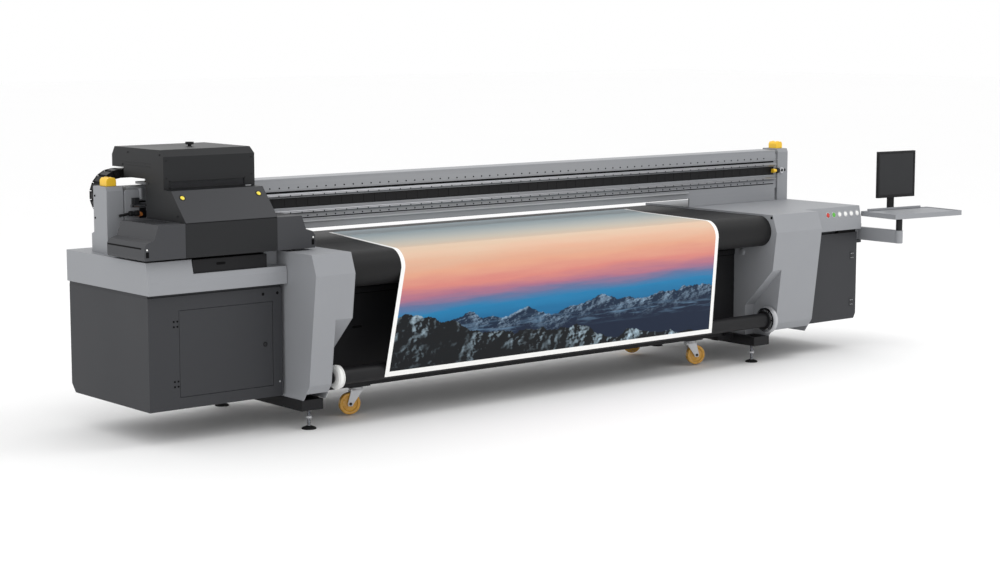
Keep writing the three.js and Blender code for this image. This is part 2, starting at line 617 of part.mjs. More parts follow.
// Two staggered rows of print heads under one cooling block.
function printHeads() {
  const c = CARRIAGE;
  const parts = [box(c.x0 + 30, c.x1 - 30, 110, 420, c.low + 28, c.low + 44)];
  for (let i = 0; i < 8; i += 1) {
    const x = c.x0 + 70 + i * 56;
    const y = i % 2 ? 130 : 280;
    parts.push(box(x, x + 34, y, y + 116, c.low + 2, c.low + 108));
  }
  return join(...parts);
}

// A curing lamp hangs on each side of the carriage, with a lower shutter box outside it.
function lamp(side) {
  const c = CARRIAGE;
  const wall = side < 0 ? c.x0 - GAP : c.x1 + GAP;
  const at = (d) => wall + side * d;
  const { top, mid, out } = LAMP_FLARE;
  const outline = [[at(0), c.low], [at(out - 3), c.low], [at(out), c.low + 15], [at(out), c.low + 70],
    [at(out - 15), c.low + 93], [at(mid + 4), c.low + 107], [at(mid), c.low + 107],
    [at(top), c.low + 185], [at(0), c.low + 185]];
  const points = side > 0 ? outline : outline.slice().reverse();
  const body = alongY(points, c.front, 440);
  const ends = [at(40), at(top - 20)].sort((p, q) => p - q);
  const window = box(ends[0], ends[1], c.front + 40, 400, c.low - 5, c.low + 60);
  return cut(body, window);
}

// ---------------------------------------------------------------- printed web, shafts and chucks
// The printed sheet lies slightly askew on the belt, bends round the nose and hangs to the shaft.
function media() {
  const m = MEDIA;
  const r = TABLE.noseRadius + 2 * GAP;
  const shaftFront = WEB.y - WEB.radius;
  const noseFront = NOSE_FRONT_Y - r;
  const lean = Math.atan2(shaftFront - GAP - m.thick - noseFront, NOSE_Z - m.foot);
  const path = (offset) => {
    const points = [[m.rear, TABLE.top + GAP + offset]];
    for (let i = 0; i <= 16; i += 1) {
      const a = Math.PI / 2 + (Math.PI / 2 + lean) * (i / 16);
      points.push([NOSE_FRONT_Y + Math.cos(a) * (r + offset), NOSE_Z + Math.sin(a) * (r + offset)]);
    }
    points.push([shaftFront - GAP - offset - 0.5, m.foot]);
    return points;
  };
  const outline = [...path(0), ...path(m.thick).reverse()];
  const web = alongX(outline, -2000, 2000);
  const leftEdge = [[m.rearLeft, m.rear + 1], [m.beamLeft, BEAM.front], [m.noseLeft, NOSE_FRONT_Y]];
  const rightEdge = [[m.noseRight, NOSE_FRONT_Y], [m.beamRight, BEAM.front], [m.rearRight, m.rear + 1]];
  const plan = alongZ([...leftEdge, ...rightEdge], TABLE.top - 10, TABLE.top + 30);
  const front = alongY([[m.footLeft, m.foot - 5], [m.footRight, m.foot - 5], [m.noseRight, NOSE_Z],
    [m.noseRight, TABLE.top + 30], [m.noseLeft, TABLE.top + 30], [m.noseLeft, NOSE_Z]], -400, NOSE_FRONT_Y);
  const mask = toSolid(plan).add(toSolid(front));
  return toGeometry(toSolid(web).intersect(mask));
}

function webShaft(y, x0, x1, end0, end1) {
  const tube = rod(WEB.radius, x1 - x0, [x0, y, WEB.z], X, 36);
  return join(tube, rod(15.5, end1 - end0, [end0, y, WEB.z], X, 24));
}

function takeUpShaft() {
  return webShaft(WEB.y, CHUCK.left + CHUCK.length + GAP, CHUCK.right - GAP,
    TABLE.left - RECESS.leftDepth - 10, TABLE.right + RECESS.rightDepth + 10);
}

function feedShaft() {
  return webShaft(FEED_Y, TABLE.left + 4, TABLE.right - 4, TABLE.left - 26, TABLE.right + 26);
}

const CHUCK = { length: 34, left: TABLE.left - 64, leftRadius: 68, right: TABLE.right + 49, rightRadius: 88 };

function chuck(x, r) {
  const profile = [[15.8, 0], [r - 14, 0], [r, 8], [r, 26], [r - 12, 30], [r - 16, 20], [40, 20],
    [32, CHUCK.length], [15.8, CHUCK.length], [15.8, 0]];
  return turned(profile, [x, WEB.y, WEB.z], X, 36);
}

// ---------------------------------------------------------------- monitor arm
function swingArm() {
  const a = ARM;
  const y0 = a.pivotY - a.reach;
  const arm = box(a.x - 20, a.x + 20, y0, a.pivotY, a.low, a.low + a.height);
  const pivotEnd = rod(34, a.height, [a.x, a.pivotY, a.low], UP, 32);
  const trayEnd = rod(26, a.height, [a.x, y0, a.low], UP, 32);
  const collar = rod(19, TRAY.low - a.low - a.height - GAP, [a.x, y0, a.low + a.height], UP, 28);
  const post = rod(12, TRAY.low - a.low - a.height + 22, [a.x, y0, a.low + a.height - 2], UP, 28);
  const bore = rod(12.5, a.height + 10, [a.x, a.pivotY, a.low - 5], UP, 28);
  return cut(join(arm, pivotEnd, trayEnd, collar, post), bore);
}

// The bracket on the cabinet's side that holds the arm's pivot pin; it passes outside the desk.
function armBracket() {
  const a = ARM;
  const top = a.low + a.height + 22;
  const foot = box(RIGHT_CAB.x1 - 1, DESK.x1 + 7, a.pivotY - 60, a.pivotY + 60, a.low - 40, DESK.z0 - 2);
  const neck = box(DESK.x1 + 1, DESK.x1 + 7, a.pivotY - 60, a.pivotY + 60, DESK.z0 - 20, top);
  const ears = [a.low - 22, a.low + a.height + 2].map((z) => {
    const lug = box(DESK.x1 + 2, a.x, a.pivotY - 34, a.pivotY + 34, z, z + 20);
    return join(lug, rod(34, 20, [a.x, a.pivotY, z], UP, 32));
  });
  const pin = rod(12, a.height + 44, [a.x, a.pivotY, a.low - 22], UP, 28);
  return join(foot, neck, ...ears, pin);
}

// Tray with a dished top, a low rim behind and a post for the monitor at its back. The group's
// origin is the socket that turns on the swing arm's post.
function tray() {
  const t = TRAY;
  const p = SCREEN_POST;
  const half = t.width / 2;
  const edge = t.depth / 2;
  const plate = box(-half, half, -edge, edge, 0, t.thick);
  const dish = box(8 - half, half - 8, 8 - edge, edge - 8, t.thick - 5, t.thick + 10);
  const rim = box(60 - half, half - 70, edge - 12, edge, t.thick - 2, t.thick + 12);
  const clamp = box(p.x - 34, p.x + 34, edge - 2, p.y + p.depth / 2 + 6, 0, t.thick);
  const post = box(p.x - p.width / 2, p.x + p.width / 2, p.y - p.depth / 2, p.y + p.depth / 2,
    2, MONITOR.low + MONITOR.tilt - 14 - t.low);
  const socket = rod(12.5, t.thick, [t.socketX, t.socketY, -10], UP, 28);
  return cut(join(cut(plate, dish), rim, clamp, post), socket).translate(-t.socketX, -t.socketY, 0);
}

function monitor() {
  const m = MONITOR;
  const z = m.low - TRAY.low;
  const postFront = SCREEN_POST.y - SCREEN_POST.depth / 2;
  const back = postFront - 8 - GAP;
  const screen = box(m.x - m.width / 2, m.x + m.width / 2, back - m.thick, back, z, z + m.height);
  const boss = box(m.x - 60, m.x + 60, back - 2, postFront - GAP, z + m.tilt - 50, z + m.tilt + 50);
  return join(screen, boss).translate(-TRAY.socketX, -TRAY.socketY, 0);
}

function placeMonitorArm() {
  add('swing_arm', swingArm(), DARK);
  const swivel = groupAt(ARM.x, ARM.pivotY - ARM.reach, TRAY.low, TRAY.turn);
  add('tray', tray(), GREY, swivel);
  add('monitor', monitor(), BLACK, swivel);
}

// ---------------------------------------------------------------- everything in place
add('base_frame', baseFrame(), BLACK);
placeRunningGear();
add('left_pillar', leftPillar, GREY);
add('right_pillar', rightPillar, GREY);
add('left_cabinet', leftCabinet(), DARK);
add('left_door', leftDoor(), DARK);
add('left_hood', leftHood(), GREY);
add('capping_station', station(), BLACK);
add('right_cabinet', rightCabinet(), DARK);
add('right_door', rightDoor(), DARK);
add('right_desk', rightDesk(), GREY);
placeButtons();
add('vacuum_table', vacuumTable(), ALUMINIUM);
add('conveyor_belt', beltLoop(), RUBBER);
add('front_belt_roller', beltRoller(NOSE_FRONT_Y), STEEL);
add('rear_belt_roller', beltRoller(NOSE_REAR_Y), STEEL);
add('front_panel', accessPanel(PANEL.front), BLACK);
add('rear_panel', accessPanel(DEPTH - PANEL.front - PANEL.thick), BLACK);
add('beam', beam(), ALUMINIUM);
add('lower_guide_rail', guideRail(GUIDE.low), STEEL);
add('upper_guide_rail', guideRail(GUIDE.high), STEEL);
for (const [name, side] of [['left', -1], ['right', 1]]) {
  add(`${name}_tower`, tower(side), GREY);
  add(`${name}_stop_block`, stopBlock(side), YELLOW);
  add(`${name}_uv_lamp`, lamp(side), DARK);
}
add('chain_tray', chainTray(), ALUMINIUM);
add('chain_loop', chainLoop(), BLACK);
add('chain_lower_run', chainLowerRun(), BLACK);
add('trolley', trolley(), ALUMINIUM);
add('carriage_housing', carriageHousing(), CARRIAGE_BLACK);
add('front_cover', frontCover(), DARK);
add('print_heads', printHeads(), STEEL);
placePauseButtons();
add('printed_media', media(), WHITE);
add('take_up_shaft', takeUpShaft(), BLACK);
add('left_chuck', chuck(CHUCK.left, CHUCK.leftRadius), WHITE);
add('right_chuck', chuck(CHUCK.right, CHUCK.rightRadius), STEEL);
add('feed_shaft', feedShaft(), BLACK);
placeMonitorArm();

printer.updateMatrixWorld(true);
const bounds = new THREE.Box3().setFromObject(machine);
const middle = bounds.getCenter(new THREE.Vector3());
const toTenth = (v) => Math.round(v * 10) / 10;
machine.position.set(-toTenth(middle.x), -toTenth(middle.y), 0);

export default printer;
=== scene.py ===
import json
import math

import bmesh
import bpy
from mathutils import Matrix, Vector


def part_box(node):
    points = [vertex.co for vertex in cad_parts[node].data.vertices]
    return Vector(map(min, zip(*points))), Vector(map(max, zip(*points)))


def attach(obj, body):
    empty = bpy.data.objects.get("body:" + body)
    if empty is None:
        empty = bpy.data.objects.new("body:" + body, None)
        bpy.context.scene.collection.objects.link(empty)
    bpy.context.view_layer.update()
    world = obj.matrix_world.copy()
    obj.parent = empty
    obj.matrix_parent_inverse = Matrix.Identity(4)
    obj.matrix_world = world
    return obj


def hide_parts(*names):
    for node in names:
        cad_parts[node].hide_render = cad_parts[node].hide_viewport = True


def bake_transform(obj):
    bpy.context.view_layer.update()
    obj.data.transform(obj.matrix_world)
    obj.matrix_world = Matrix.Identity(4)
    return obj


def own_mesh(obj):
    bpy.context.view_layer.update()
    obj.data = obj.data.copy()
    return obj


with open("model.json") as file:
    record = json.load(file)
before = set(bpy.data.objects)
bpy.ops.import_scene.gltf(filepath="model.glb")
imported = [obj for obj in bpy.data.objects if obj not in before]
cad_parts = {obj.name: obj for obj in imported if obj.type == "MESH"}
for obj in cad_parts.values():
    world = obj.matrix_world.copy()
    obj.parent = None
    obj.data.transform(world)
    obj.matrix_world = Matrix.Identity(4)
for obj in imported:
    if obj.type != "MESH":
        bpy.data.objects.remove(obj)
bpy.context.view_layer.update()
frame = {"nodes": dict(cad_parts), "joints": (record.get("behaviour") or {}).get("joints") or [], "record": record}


# ---------------------------------------------------------------- places, from the frame
def middle(node):
    low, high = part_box(node)
    return (low + high) / 2


ORIGIN_X = (middle("front_left_foot").x + middle("front_right_foot").x) / 2
ORIGIN_Y = middle("front_left_foot").y


def at(x, y, z):
    """Machine millimetres (x from the middle of the feet, y from the front feet, z up) in the frame."""
    return Vector((x / 1000 + ORIGIN_X, y / 1000 + ORIGIN_Y, z / 1000))


def span(node):
    """A node's box in machine millimetres: x0, x1, y0, y1, z0, z1."""
    low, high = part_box(node)
    x = [(v - ORIGIN_X) * 1000 for v in (low.x, high.x)]
    y = [(v - ORIGIN_Y) * 1000 for v in (low.y, high.y)]
    return [*x, *y, low.z * 1000, high.z * 1000]


TABLE_X0, TABLE_X1, BELT_Y0, _, BELT_Z0, BELT_Z1 = span("conveyor_belt")
NOSE_R = (BELT_Z1 - BELT_Z0) / 2
NOSE_Y = BELT_Y0 + NOSE_R
NOSE_Z = BELT_Z0 + NOSE_R
AXES = {"x": Vector((1, 0, 0)), "y": Vector((0, 1, 0)), "z": Vector((0, 0, 1)),
        "-x": Vector((-1, 0, 0)), "-y": Vector((0, -1, 0)), "-z": Vector((0, 0, -1))}


JOINTS = {joint["name"]: joint for joint in frame["joints"]}


def joint_place(name):
    """A joint's position in machine millimetres."""
    x, y, z = JOINTS[name]["pos_m"]
    return ((x - ORIGIN_X) * 1000, (y - ORIGIN_Y) * 1000, z * 1000)


# ---------------------------------------------------------------- materials
def linear(r, g, b):
    """A screen colour from 0 to 255 as the linear values a shader takes."""
    def one(c):
        c /= 255
        return c / 12.92 if c <= 0.04045 else ((c + 0.055) / 1.055) ** 2.4
    return (one(r), one(g), one(b), 1)


class Look:
    """A node material being put together."""

    def __init__(self, name, color, roughness, metallic=0.0, specular=0.5):
        self.material = bpy.data.materials.new(name + "_look")
        self.material.use_nodes = True
        self.tree = self.material.node_tree
        self.shader = self.tree.nodes["Principled BSDF"]
        self.shader.inputs["Base Color"].default_value = color
        self.shader.inputs["Roughness"].default_value = roughness
        self.shader.inputs["Metallic"].default_value = metallic
        self.shader.inputs["Specular IOR Level"].default_value = specular
        self.color = color
        self.roughness = roughness

    def node(self, kind, **settings):
        made = self.tree.nodes.new("ShaderNode" + kind)
        for key, value in settings.items():
            setattr(made, key, value)
        return made

    def link(self, output, target):
        self.tree.links.new(output, target)

    def math(self, operation, a, b=None, c=None, clamp=False):
        made = self.node("Math", operation=operation, use_clamp=clamp)
        for i, value in enumerate((a, b, c)):
            if value is None:
                continue
            if isinstance(value, (int, float)):
                made.inputs[i].default_value = value
            else:
                self.link(value, made.inputs[i])
        return made.outputs[0]

    def mix(self, factor, a, b):
        made = self.node("Mix", data_type="RGBA")
        for socket, value in ((made.inputs[0], factor), (made.inputs[6], a), (made.inputs[7], b)):
            if isinstance(value, (int, float, tuple)):
                socket.default_value = value
            else:
                self.link(value, socket)
        return made.outputs[2]

    def coordinates(self, stretch=(1, 1, 1)):
        source = self.node("TexCoord")
        mapping = self.node("Mapping")
        mapping.inputs["Scale"].default_value = stretch
        self.link(source.outputs["Object"], mapping.inputs["Vector"])
        return mapping.outputs[0]

    def noise(self, scale, detail=3.0, stretch=(1, 1, 1), rough=0.5):
        made = self.node("TexNoise")
        made.inputs["Scale"].default_value = scale
        made.inputs["Detail"].default_value = detail
        made.inputs["Roughness"].default_value = rough
        self.link(self.coordinates(stretch), made.inputs["Vector"])
        return made.outputs[0]

    def vary(self, amount, scale, stretch=(1, 1, 1)):
        """Lightens and darkens the colour, and roughens and polishes it, in soft patches."""
        patches = self.noise(scale, 4.0, stretch)
        light = tuple(min(1, c * (1 + amount)) for c in self.color[:3]) + (1,)
        dark = tuple(c * (1 - amount) for c in self.color[:3]) + (1,)
        self.link(self.mix(patches, dark, light), self.shader.inputs["Base Color"])
        ranged = self.node("MapRange")
        ranged.inputs["To Min"].default_value = max(0.02, self.roughness - 0.07)
        ranged.inputs["To Max"].default_value = self.roughness + 0.07
        self.link(patches, ranged.inputs["Value"])
        self.link(ranged.outputs[0], self.shader.inputs["Roughness"])
        return self

    def bump(self, height, strength, distance):
        made = self.node("Bump")
        made.inputs["Strength"].default_value = strength
        made.inputs["Distance"].default_value = distance
        self.link(height, made.inputs["Height"])
        self.link(made.outputs[0], self.shader.inputs["Normal"])
        return self

    def grain(self, scale, strength=0.25, distance=0.0004, stretch=(1, 1, 1)):
        return self.bump(self.noise(scale, 2.0, stretch), strength, distance)


def powder_coat(name, color, roughness=0.5, texture=900, specular=0.5):
    """Baked powder coat: an orange-peel skin over a slightly uneven colour."""
    return Look(name, color, roughness, 0.0, specular).vary(0.05, 2.5).grain(texture).material


def bare_metal(name, color, roughness, stretch, metallic=0.9):
    """Drawn or ground metal, with its lines along one direction."""
    look = Look(name, color, roughness, metallic)
    look.vary(0.07, 60, stretch)
    return look.grain(900, 0.2, 0.0002, stretch).material


def moulded(name, color, roughness=0.35, texture=500, specular=0.5):
    """Moulded plastic with a fine satin skin."""
    return Look(name, color, roughness, 0.0, specular).vary(0.04, 9).grain(texture, 0.12, 0.0003).material


def belt_rubber():
    """A woven conveyor belt with a matt black rubber face."""
    look = Look("belt_rubber", linear(26, 26, 27), 0.55, 0.0, 0.2)
    look.vary(0.10, 1.6, (0.4, 3, 3))
    weave = []
    for direction in ("X", "Y"):
        wave = look.node("TexWave", wave_type="BANDS", bands_direction=direction)
        wave.inputs["Scale"].default_value = 160
        look.link(look.coordinates(), wave.inputs["Vector"])
        weave.append(wave.outputs[1])
    return look.bump(look.math("MULTIPLY", *weave), 0.25, 0.0004).material


def polyurethane():
    look = Look("amber_polyurethane", linear(205, 152, 48), 0.28)
    look.vary(0.12, 30)
    look.shader.inputs["Subsurface Weight"].default_value = 0.15
    look.shader.inputs["Subsurface Radius"].default_value = (0.01, 0.006, 0.002)
    look.shader.inputs["Coat Weight"].default_value = 0.4
    return look.grain(220, 0.15, 0.0004).material


def screen_glass():
    look = Look("screen_glass", linear(40, 41, 43), 0.2, 0.0, 0.25)
    look.vary(0.10, 6)
    return look.grain(1500, 0.03, 0.0001).material


LINK_PITCH = 56.0


def chain_plastic():
    """Black plastic chain whose links show as bands along the straight runs."""
    look = Look("chain_plastic", linear(24, 24, 25), 0.5, 0.0, 0.25)
    where = look.node("NewGeometry").outputs["Position"]
    split = look.node("SeparateXYZ")
    look.link(where, split.inputs[0])
    phase = look.math("FRACT", look.math("DIVIDE", split.outputs["X"], LINK_PITCH / 1000))
    gap = look.math("GREATER_THAN", phase, 0.86)
    look.link(look.mix(gap, linear(30, 30, 31), linear(8, 8, 9)), look.shader.inputs["Base Color"])
    return look.bump(look.math("SUBTRACT", 1.0, gap), 0.6, 0.002).material


SKY = [(0.00, (132, 156, 168)), (0.14, (150, 170, 178)), (0.32, (186, 190, 186)), (0.46, (206, 196, 180)),
       (0.57, (216, 188, 162)), (0.655, (224, 164, 136)), (0.70, (214, 134, 124)), (0.735, (172, 112, 134)),
       (0.762, (96, 112, 152)), (0.79, (30, 122, 170)), (0.86, (18, 92, 138))]

# the white border, and the sheet it is a share of, in mm
BORDER = 28.0
SHEET_WIDTH = 2600.0
SHEET_LENGTH = 1700.0


def landscape():
    """The print: a plain dusk sky over two mountain ranges, inside a white border."""
    look = Look("printed_vinyl", linear(240, 240, 238), 0.42, 0.0, 0.2)
    uv = look.node("UVMap", uv_map="sheet").outputs[0]
    split = look.node("SeparateXYZ")
    look.link(uv, split.inputs[0])
    across, down = split.outputs["X"], split.outputs["Y"]

    def noise(scale, detail, stretch, dimensions="2D", rough=0.55, place=(0.0, 0.0)):
        made = look.node("TexNoise", noise_dimensions=dimensions)
        made.inputs["Scale"].default_value = scale
        made.inputs["Detail"].default_value = detail
        made.inputs["Roughness"].default_value = rough
        if dimensions == "1D":
            look.link(look.math("ADD", across, stretch[0]), made.inputs["W"])
            return made.outputs[0]
        mapping = look.node("Mapping")
        mapping.inputs["Location"].default_value = (*place, 0)
        mapping.inputs["Scale"].default_value = stretch
        look.link(uv, mapping.inputs["Vector"])
        look.link(mapping.outputs[0], made.inputs["Vector"])
        return made.outputs[0]

    def below(ridge, soft):
        return look.math("MULTIPLY", look.math("SUBTRACT", down, ridge), 1 / soft, clamp=True)

    def ridge(base, height, scale, seed, rough):
        crest = noise(scale, 9, (seed,), "1D", rough)
        return look.math("SUBTRACT", base, look.math("MULTIPLY", crest, height))

    streaks = noise(3.0, 5, (1.2, 9, 1))
    tilt = look.math("MULTIPLY", look.math("SUBTRACT", across, 0.5), 0.02)
    height = look.math("ADD", down, look.math("MULTIPLY", look.math("SUBTRACT", streaks, 0.5), 0.05))
    ramp = look.node("ValToRGB")
    stops = ramp.color_ramp.elements
    while len(stops) < len(SKY):
        stops.new(0.5)
    for stop, (place, color) in zip(stops, SKY):
        stop.position = place
        stop.color = linear(*color)
    look.link(look.math("ADD", height, tilt), ramp.inputs[0])
    picture = ramp.outputs[0]

    def relief(scale, stretch, step, gain, level):
        """Slopes that face the light, from the difference of two looks at the same crags."""
        crags = [noise(scale, 7, stretch, rough=0.5, place=(shift, 0.5 * shift)) for shift in (0.0, step)]
        slope = look.math("MULTIPLY", look.math("SUBTRACT", *crags), gain)
        return look.math("ADD", slope, level, clamp=True)

    far = look.math("SUBTRACT", ridge(0.900, 0.115, 7, 3.3, 0.56), look.math("MULTIPLY", across, 0.03))
    far_snow = relief(5, (3.0, 5.0, 1), 0.012, 9, 0.12)
    haze = look.math("MULTIPLY", look.math("SUBTRACT", down, far), 14, clamp=True)
    far_rock = look.mix(far_snow, linear(14, 38, 62), linear(150, 178, 202))
    far_rock = look.mix(haze, far_rock, linear(14, 30, 54))
    picture = look.mix(below(far, 0.003), picture, far_rock)

    mist = look.math("MULTIPLY", look.math("SUBTRACT", noise(5, 6, (2.2, 16.0, 1)), 0.5), 4, clamp=True)
    layer = look.math("ABSOLUTE", look.math("MULTIPLY", look.math("SUBTRACT", down, 0.875), 28))
    mist = look.math("MULTIPLY", mist, look.math("SUBTRACT", 1.0, layer, clamp=True))
    picture = look.mix(mist, picture, linear(96, 128, 156))

    slope = look.math("MULTIPLY", look.math("POWER", across, 0.8), 0.19)
    near = look.math("ADD", ridge(0.880, 0.15, 5, 8.4, 0.60), slope)
    depth = look.math("SUBTRACT", down, near)
    fade = look.math("SUBTRACT", 1.15, look.math("MULTIPLY", depth, 5.5), clamp=True)
    patches = look.math("MULTIPLY", look.math("SUBTRACT", noise(3.2, 3, (3.0, 3.0, 1)), 0.40), 6,
                        clamp=True)
    slopes = relief(4, (3.4, 2.6, 1), 0.020, 10, -0.02)
    snow = look.math("MULTIPLY", slopes, look.math("MULTIPLY", fade, patches))
    near_rock = look.mix(snow, linear(6, 11, 16), linear(176, 200, 214))
    picture = look.mix(below(near, 0.002), picture, near_rock)

    side = look.math("MINIMUM", across, look.math("SUBTRACT", 1.0, across))
    inside = look.math("GREATER_THAN", side, BORDER / SHEET_WIDTH)
    end = look.math("SUBTRACT", 1.0, down)
    inside = look.math("MULTIPLY", inside, look.math("GREATER_THAN", end, BORDER / SHEET_LENGTH))
    look.link(look.mix(inside, linear(246, 246, 244), picture), look.shader.inputs["Base Color"])
    return look.grain(700, 0.08, 0.0002).material


GREY = powder_coat("grey_paint", linear(146, 148, 152), 0.5, 900, 0.35)
DARK = powder_coat("dark_paint", linear(55, 56, 59), 0.55, 650, 0.25)
BLACK = powder_coat("black_paint", linear(26, 26, 28), 0.5, 900, 0.2)
CARRIAGE = powder_coat("carriage_paint", linear(30, 31, 33), 0.48, 650, 0.25)
LAMP = powder_coat("lamp_paint", linear(62, 63, 66), 0.5, 650, 0.25)
COVER = powder_coat("cover_paint", linear(54, 55, 58), 0.42, 650, 0.25)
HINGE = powder_coat("hinge_paint", linear(44, 45, 47), 0.4, 900, 0.3)
# Near-black painted shade, put as strips and discs in grooves, seams, slots, ports, bores, vents and behind the
# grille, where there is only shade; also the colour of the dark screw heads.
SHADE_AND_DARK_SCREWS = powder_coat("seam_shadow", linear(10, 10, 11), 0.8, 900, 0.1)
ALUMINIUM = bare_metal("anodised_aluminium", linear(150, 152, 156), 0.45, (0.02, 1, 1), 0.3)
LIP_METAL = bare_metal("polished_lip", linear(160, 162, 165), 0.5, (0.02, 1, 1), 0.0)
STEEL = bare_metal("ground_steel", linear(150, 151, 154), 0.3, (0.05, 1, 1))
ZINC = bare_metal("zinc_plate", linear(190, 191, 194), 0.38, (1, 1, 0.2), 0.5)
CHROME = bare_metal("chrome", linear(176, 178, 182), 0.16, (1, 1, 0.1), 1.0)
BELT = belt_rubber()
RUBBER = moulded("black_rubber", linear(22, 22, 23), 0.75, 300, 0.2)
AMBER = polyurethane()
YELLOW = moulded("yellow_plastic", linear(248, 200, 48), 0.38)
PALE_YELLOW = moulded("pale_yellow_plastic", linear(245, 222, 70), 0.3)
WHITE = moulded("white_plastic", linear(240, 240, 238), 0.35)
RED = moulded("red_plastic", linear(196, 52, 40), 0.3)
GREEN = moulded("green_plastic", linear(88, 176, 62), 0.3)
ORANGE = moulded("orange_plastic", linear(214, 130, 62), 0.35)
PLASTIC = moulded("black_plastic", linear(24, 24, 26), 0.5, 500, 0.25)
SCREEN = screen_glass()
CHAIN = chain_plastic()
PRINT = landscape()


# ---------------------------------------------------------------- shapes, added to a bmesh in machine mm
def add_box(bm, x0, x1, y0, y1, z0, z1):
    v = [bm.verts.new(at(x, y, z)) for x in (x0, x1) for y in (y0, y1) for z in (z0, z1)]
    for face in ((0, 1, 3, 2), (4, 6, 7, 5), (0, 4, 5, 1), (2, 3, 7, 6), (0, 2, 6, 4), (1, 5, 7, 3)):
        bm.faces.new([v[i] for i in face])


def add_prism(bm, outline, axis, start, end):
    """An outline drawn across an axis, in the order of the other two axes, and run along it."""
    def point(a, b, along):
        return {"x": at(along, a, b), "y": at(a, along, b), "z": at(a, b, along)}[axis]
    rings = [[bm.verts.new(point(a, b, along)) for a, b in outline] for along in (start, end)]
    count = len(outline)
    bm.faces.new(rings[0])
    bm.faces.new(rings[1][::-1])
    for i in range(count):
        j = (i + 1) % count
        bm.faces.new((rings[0][i], rings[0][j], rings[1][j], rings[1][i]))


def basis(axis):
    """A turn that takes +Z to an axis, given by its name or as a vector."""
    direction = AXES[axis] if isinstance(axis, str) else Vector(axis).normalized()
    return direction.to_track_quat("Z", "Y").to_matrix()


def add_lathe(bm, profile, centre, axis="z", sides=40):
    """A profile of (radius, distance along the axis) turned about an axis through a point."""
    turn = basis(axis)
    rings = []
    for radius, along in profile:
        if radius < 1e-6:
            rings.append([bm.verts.new(at(*centre) + turn @ Vector((0, 0, along / 1000)))])
            continue
        ring = []
        for i in range(sides):
            a = 2 * math.pi * i / sides
            local = Vector((radius * math.cos(a), radius * math.sin(a), along)) / 1000
            ring.append(bm.verts.new(at(*centre) + turn @ local))
        rings.append(ring)
    closed = profile[0][0] > 0 and profile[-1][0] > 0
    pairs = list(zip(rings, rings[1:])) + ([(rings[-1], rings[0])] if closed else [])
    for a, b in pairs:
        for i in range(sides):
            j = (i + 1) % sides
            corners = [a[0] if len(a) == 1 else a[i], b[0] if len(b) == 1 else b[i]]
            if len(b) > 1:
                corners.append(b[j])
            if len(a) > 1:
                corners.append(a[j])
            bm.faces.new(corners)


def add_tube(bm, points, radius, sides=12):
    """A round bar along a path of machine points."""
    path = [at(*p) for p in points]
    rings = []
    for i, p in enumerate(path):
        before, after = path[max(0, i - 1)], path[min(len(path) - 1, i + 1)]
        turn = (after - before).to_track_quat("Z", "Y").to_matrix()
        rings.append([bm.verts.new(p + turn @ (Vector((math.cos(a), math.sin(a), 0)) * radius / 1000))
                      for a in [2 * math.pi * k / sides for k in range(sides)]])
    for a, b in zip(rings, rings[1:]):
        for i in range(sides):
            j = (i + 1) % sides
            bm.faces.new((a[i], a[j], b[j], b[i]))
    bm.faces.new(rings[0][::-1])
    bm.faces.new(rings[-1])


def add_screw(bm, place, axis, radius=5.0, sides=12):
    """A domed screw head with a socket in it, standing on a surface."""
    r = radius
    profile = [(0, r * 0.25), (r * 0.42, r * 0.25), (r * 0.48, r * 0.6), (r * 0.86, r * 0.5), (r, r * 0.2),
               (r, -r * 0.4), (0, -r * 0.4)]
    add_lathe(bm, profile, place, axis, sides)


def to_mesh(name, bm):
    """A mesh from a bmesh, which is freed."""
    mesh = bpy.data.meshes.new(name)
    bm.to_mesh(mesh)
    bm.free()
    return mesh


def piece(name, build, material, body, bevel=0.0, segments=2, angle=35):
    """One finished object from a function that fills a bmesh; bevel is in millimetres."""
    bm = bmesh.new()
    build(bm)
    bmesh.ops.recalc_face_normals(bm, faces=bm.faces)
    return present(name, to_mesh(name, bm), material, body, bevel, segments, angle)


def present(name, mesh, material, body, bevel, segments=2, angle=35):
    mesh.materials.clear()
    mesh.materials.append(material)
    mesh.polygons.foreach_set("use_smooth", [True] * len(mesh.polygons))
    mesh.set_sharp_from_angle(angle=math.radians(angle))
    made = bpy.data.objects.new(name, mesh)
    bpy.context.scene.collection.objects.link(made)
    if bevel:
        round_off = made.modifiers.new("round_off", "BEVEL")
        round_off.width = bevel / 1000
        round_off.segments = segments
        round_off.limit_method = "ANGLE"
        round_off.angle_limit = math.radians(28)
        round_off.harden_normals = True
    weigh = made.modifiers.new("weigh", "WEIGHTED_NORMAL")
    weigh.keep_sharp = True
    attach(made, body)
    return made


def turned(name, profile, place, axis, sides, material, body, bevel=0.0, angle=35):
    """A piece that is one turned profile."""
    return piece(name, lambda bm: add_lathe(bm, profile, place, axis, sides), material, body, bevel,
                 angle=angle)


def boxes(name, rows, material, body, bevel=0.0):
    """A piece of boxes, each given as x0, x1, y0, y1, z0, z1."""
    def build(bm):
        for row in rows:
            add_box(bm, *row)

    return piece(name, build, material, body, bevel)


def screw_heads(name, rows, radius, material, body, sides=12):
    """A piece of screw heads, each given as its place and the axis it points along."""
    def build(bm):
        for place, axis in rows:
            add_screw(bm, place, axis, radius, sides)

    return piece(name, build, material, body)


def body_of(node):
    groups = frame["record"]["behaviour"]["bodies"]
    return next(body for body, nodes in groups.items() if node in nodes)


def dress(node, material, bevel=1.2, segments=2):
    """A CAD node's own shape with its coplanar triangles merged and its edges rounded."""
    bm = bmesh.new()
    bm.from_mesh(frame["nodes"][node].data)
    bmesh.ops.remove_doubles(bm, verts=bm.verts, dist=1e-5)
    bmesh.ops.dissolve_limit(bm, angle_limit=math.radians(1), verts=bm.verts, edges=bm.edges)
    name = node + "_skin"
    made = present(name, to_mesh(name, bm), material, body_of(node), bevel, segments)
    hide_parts(node)
    return made


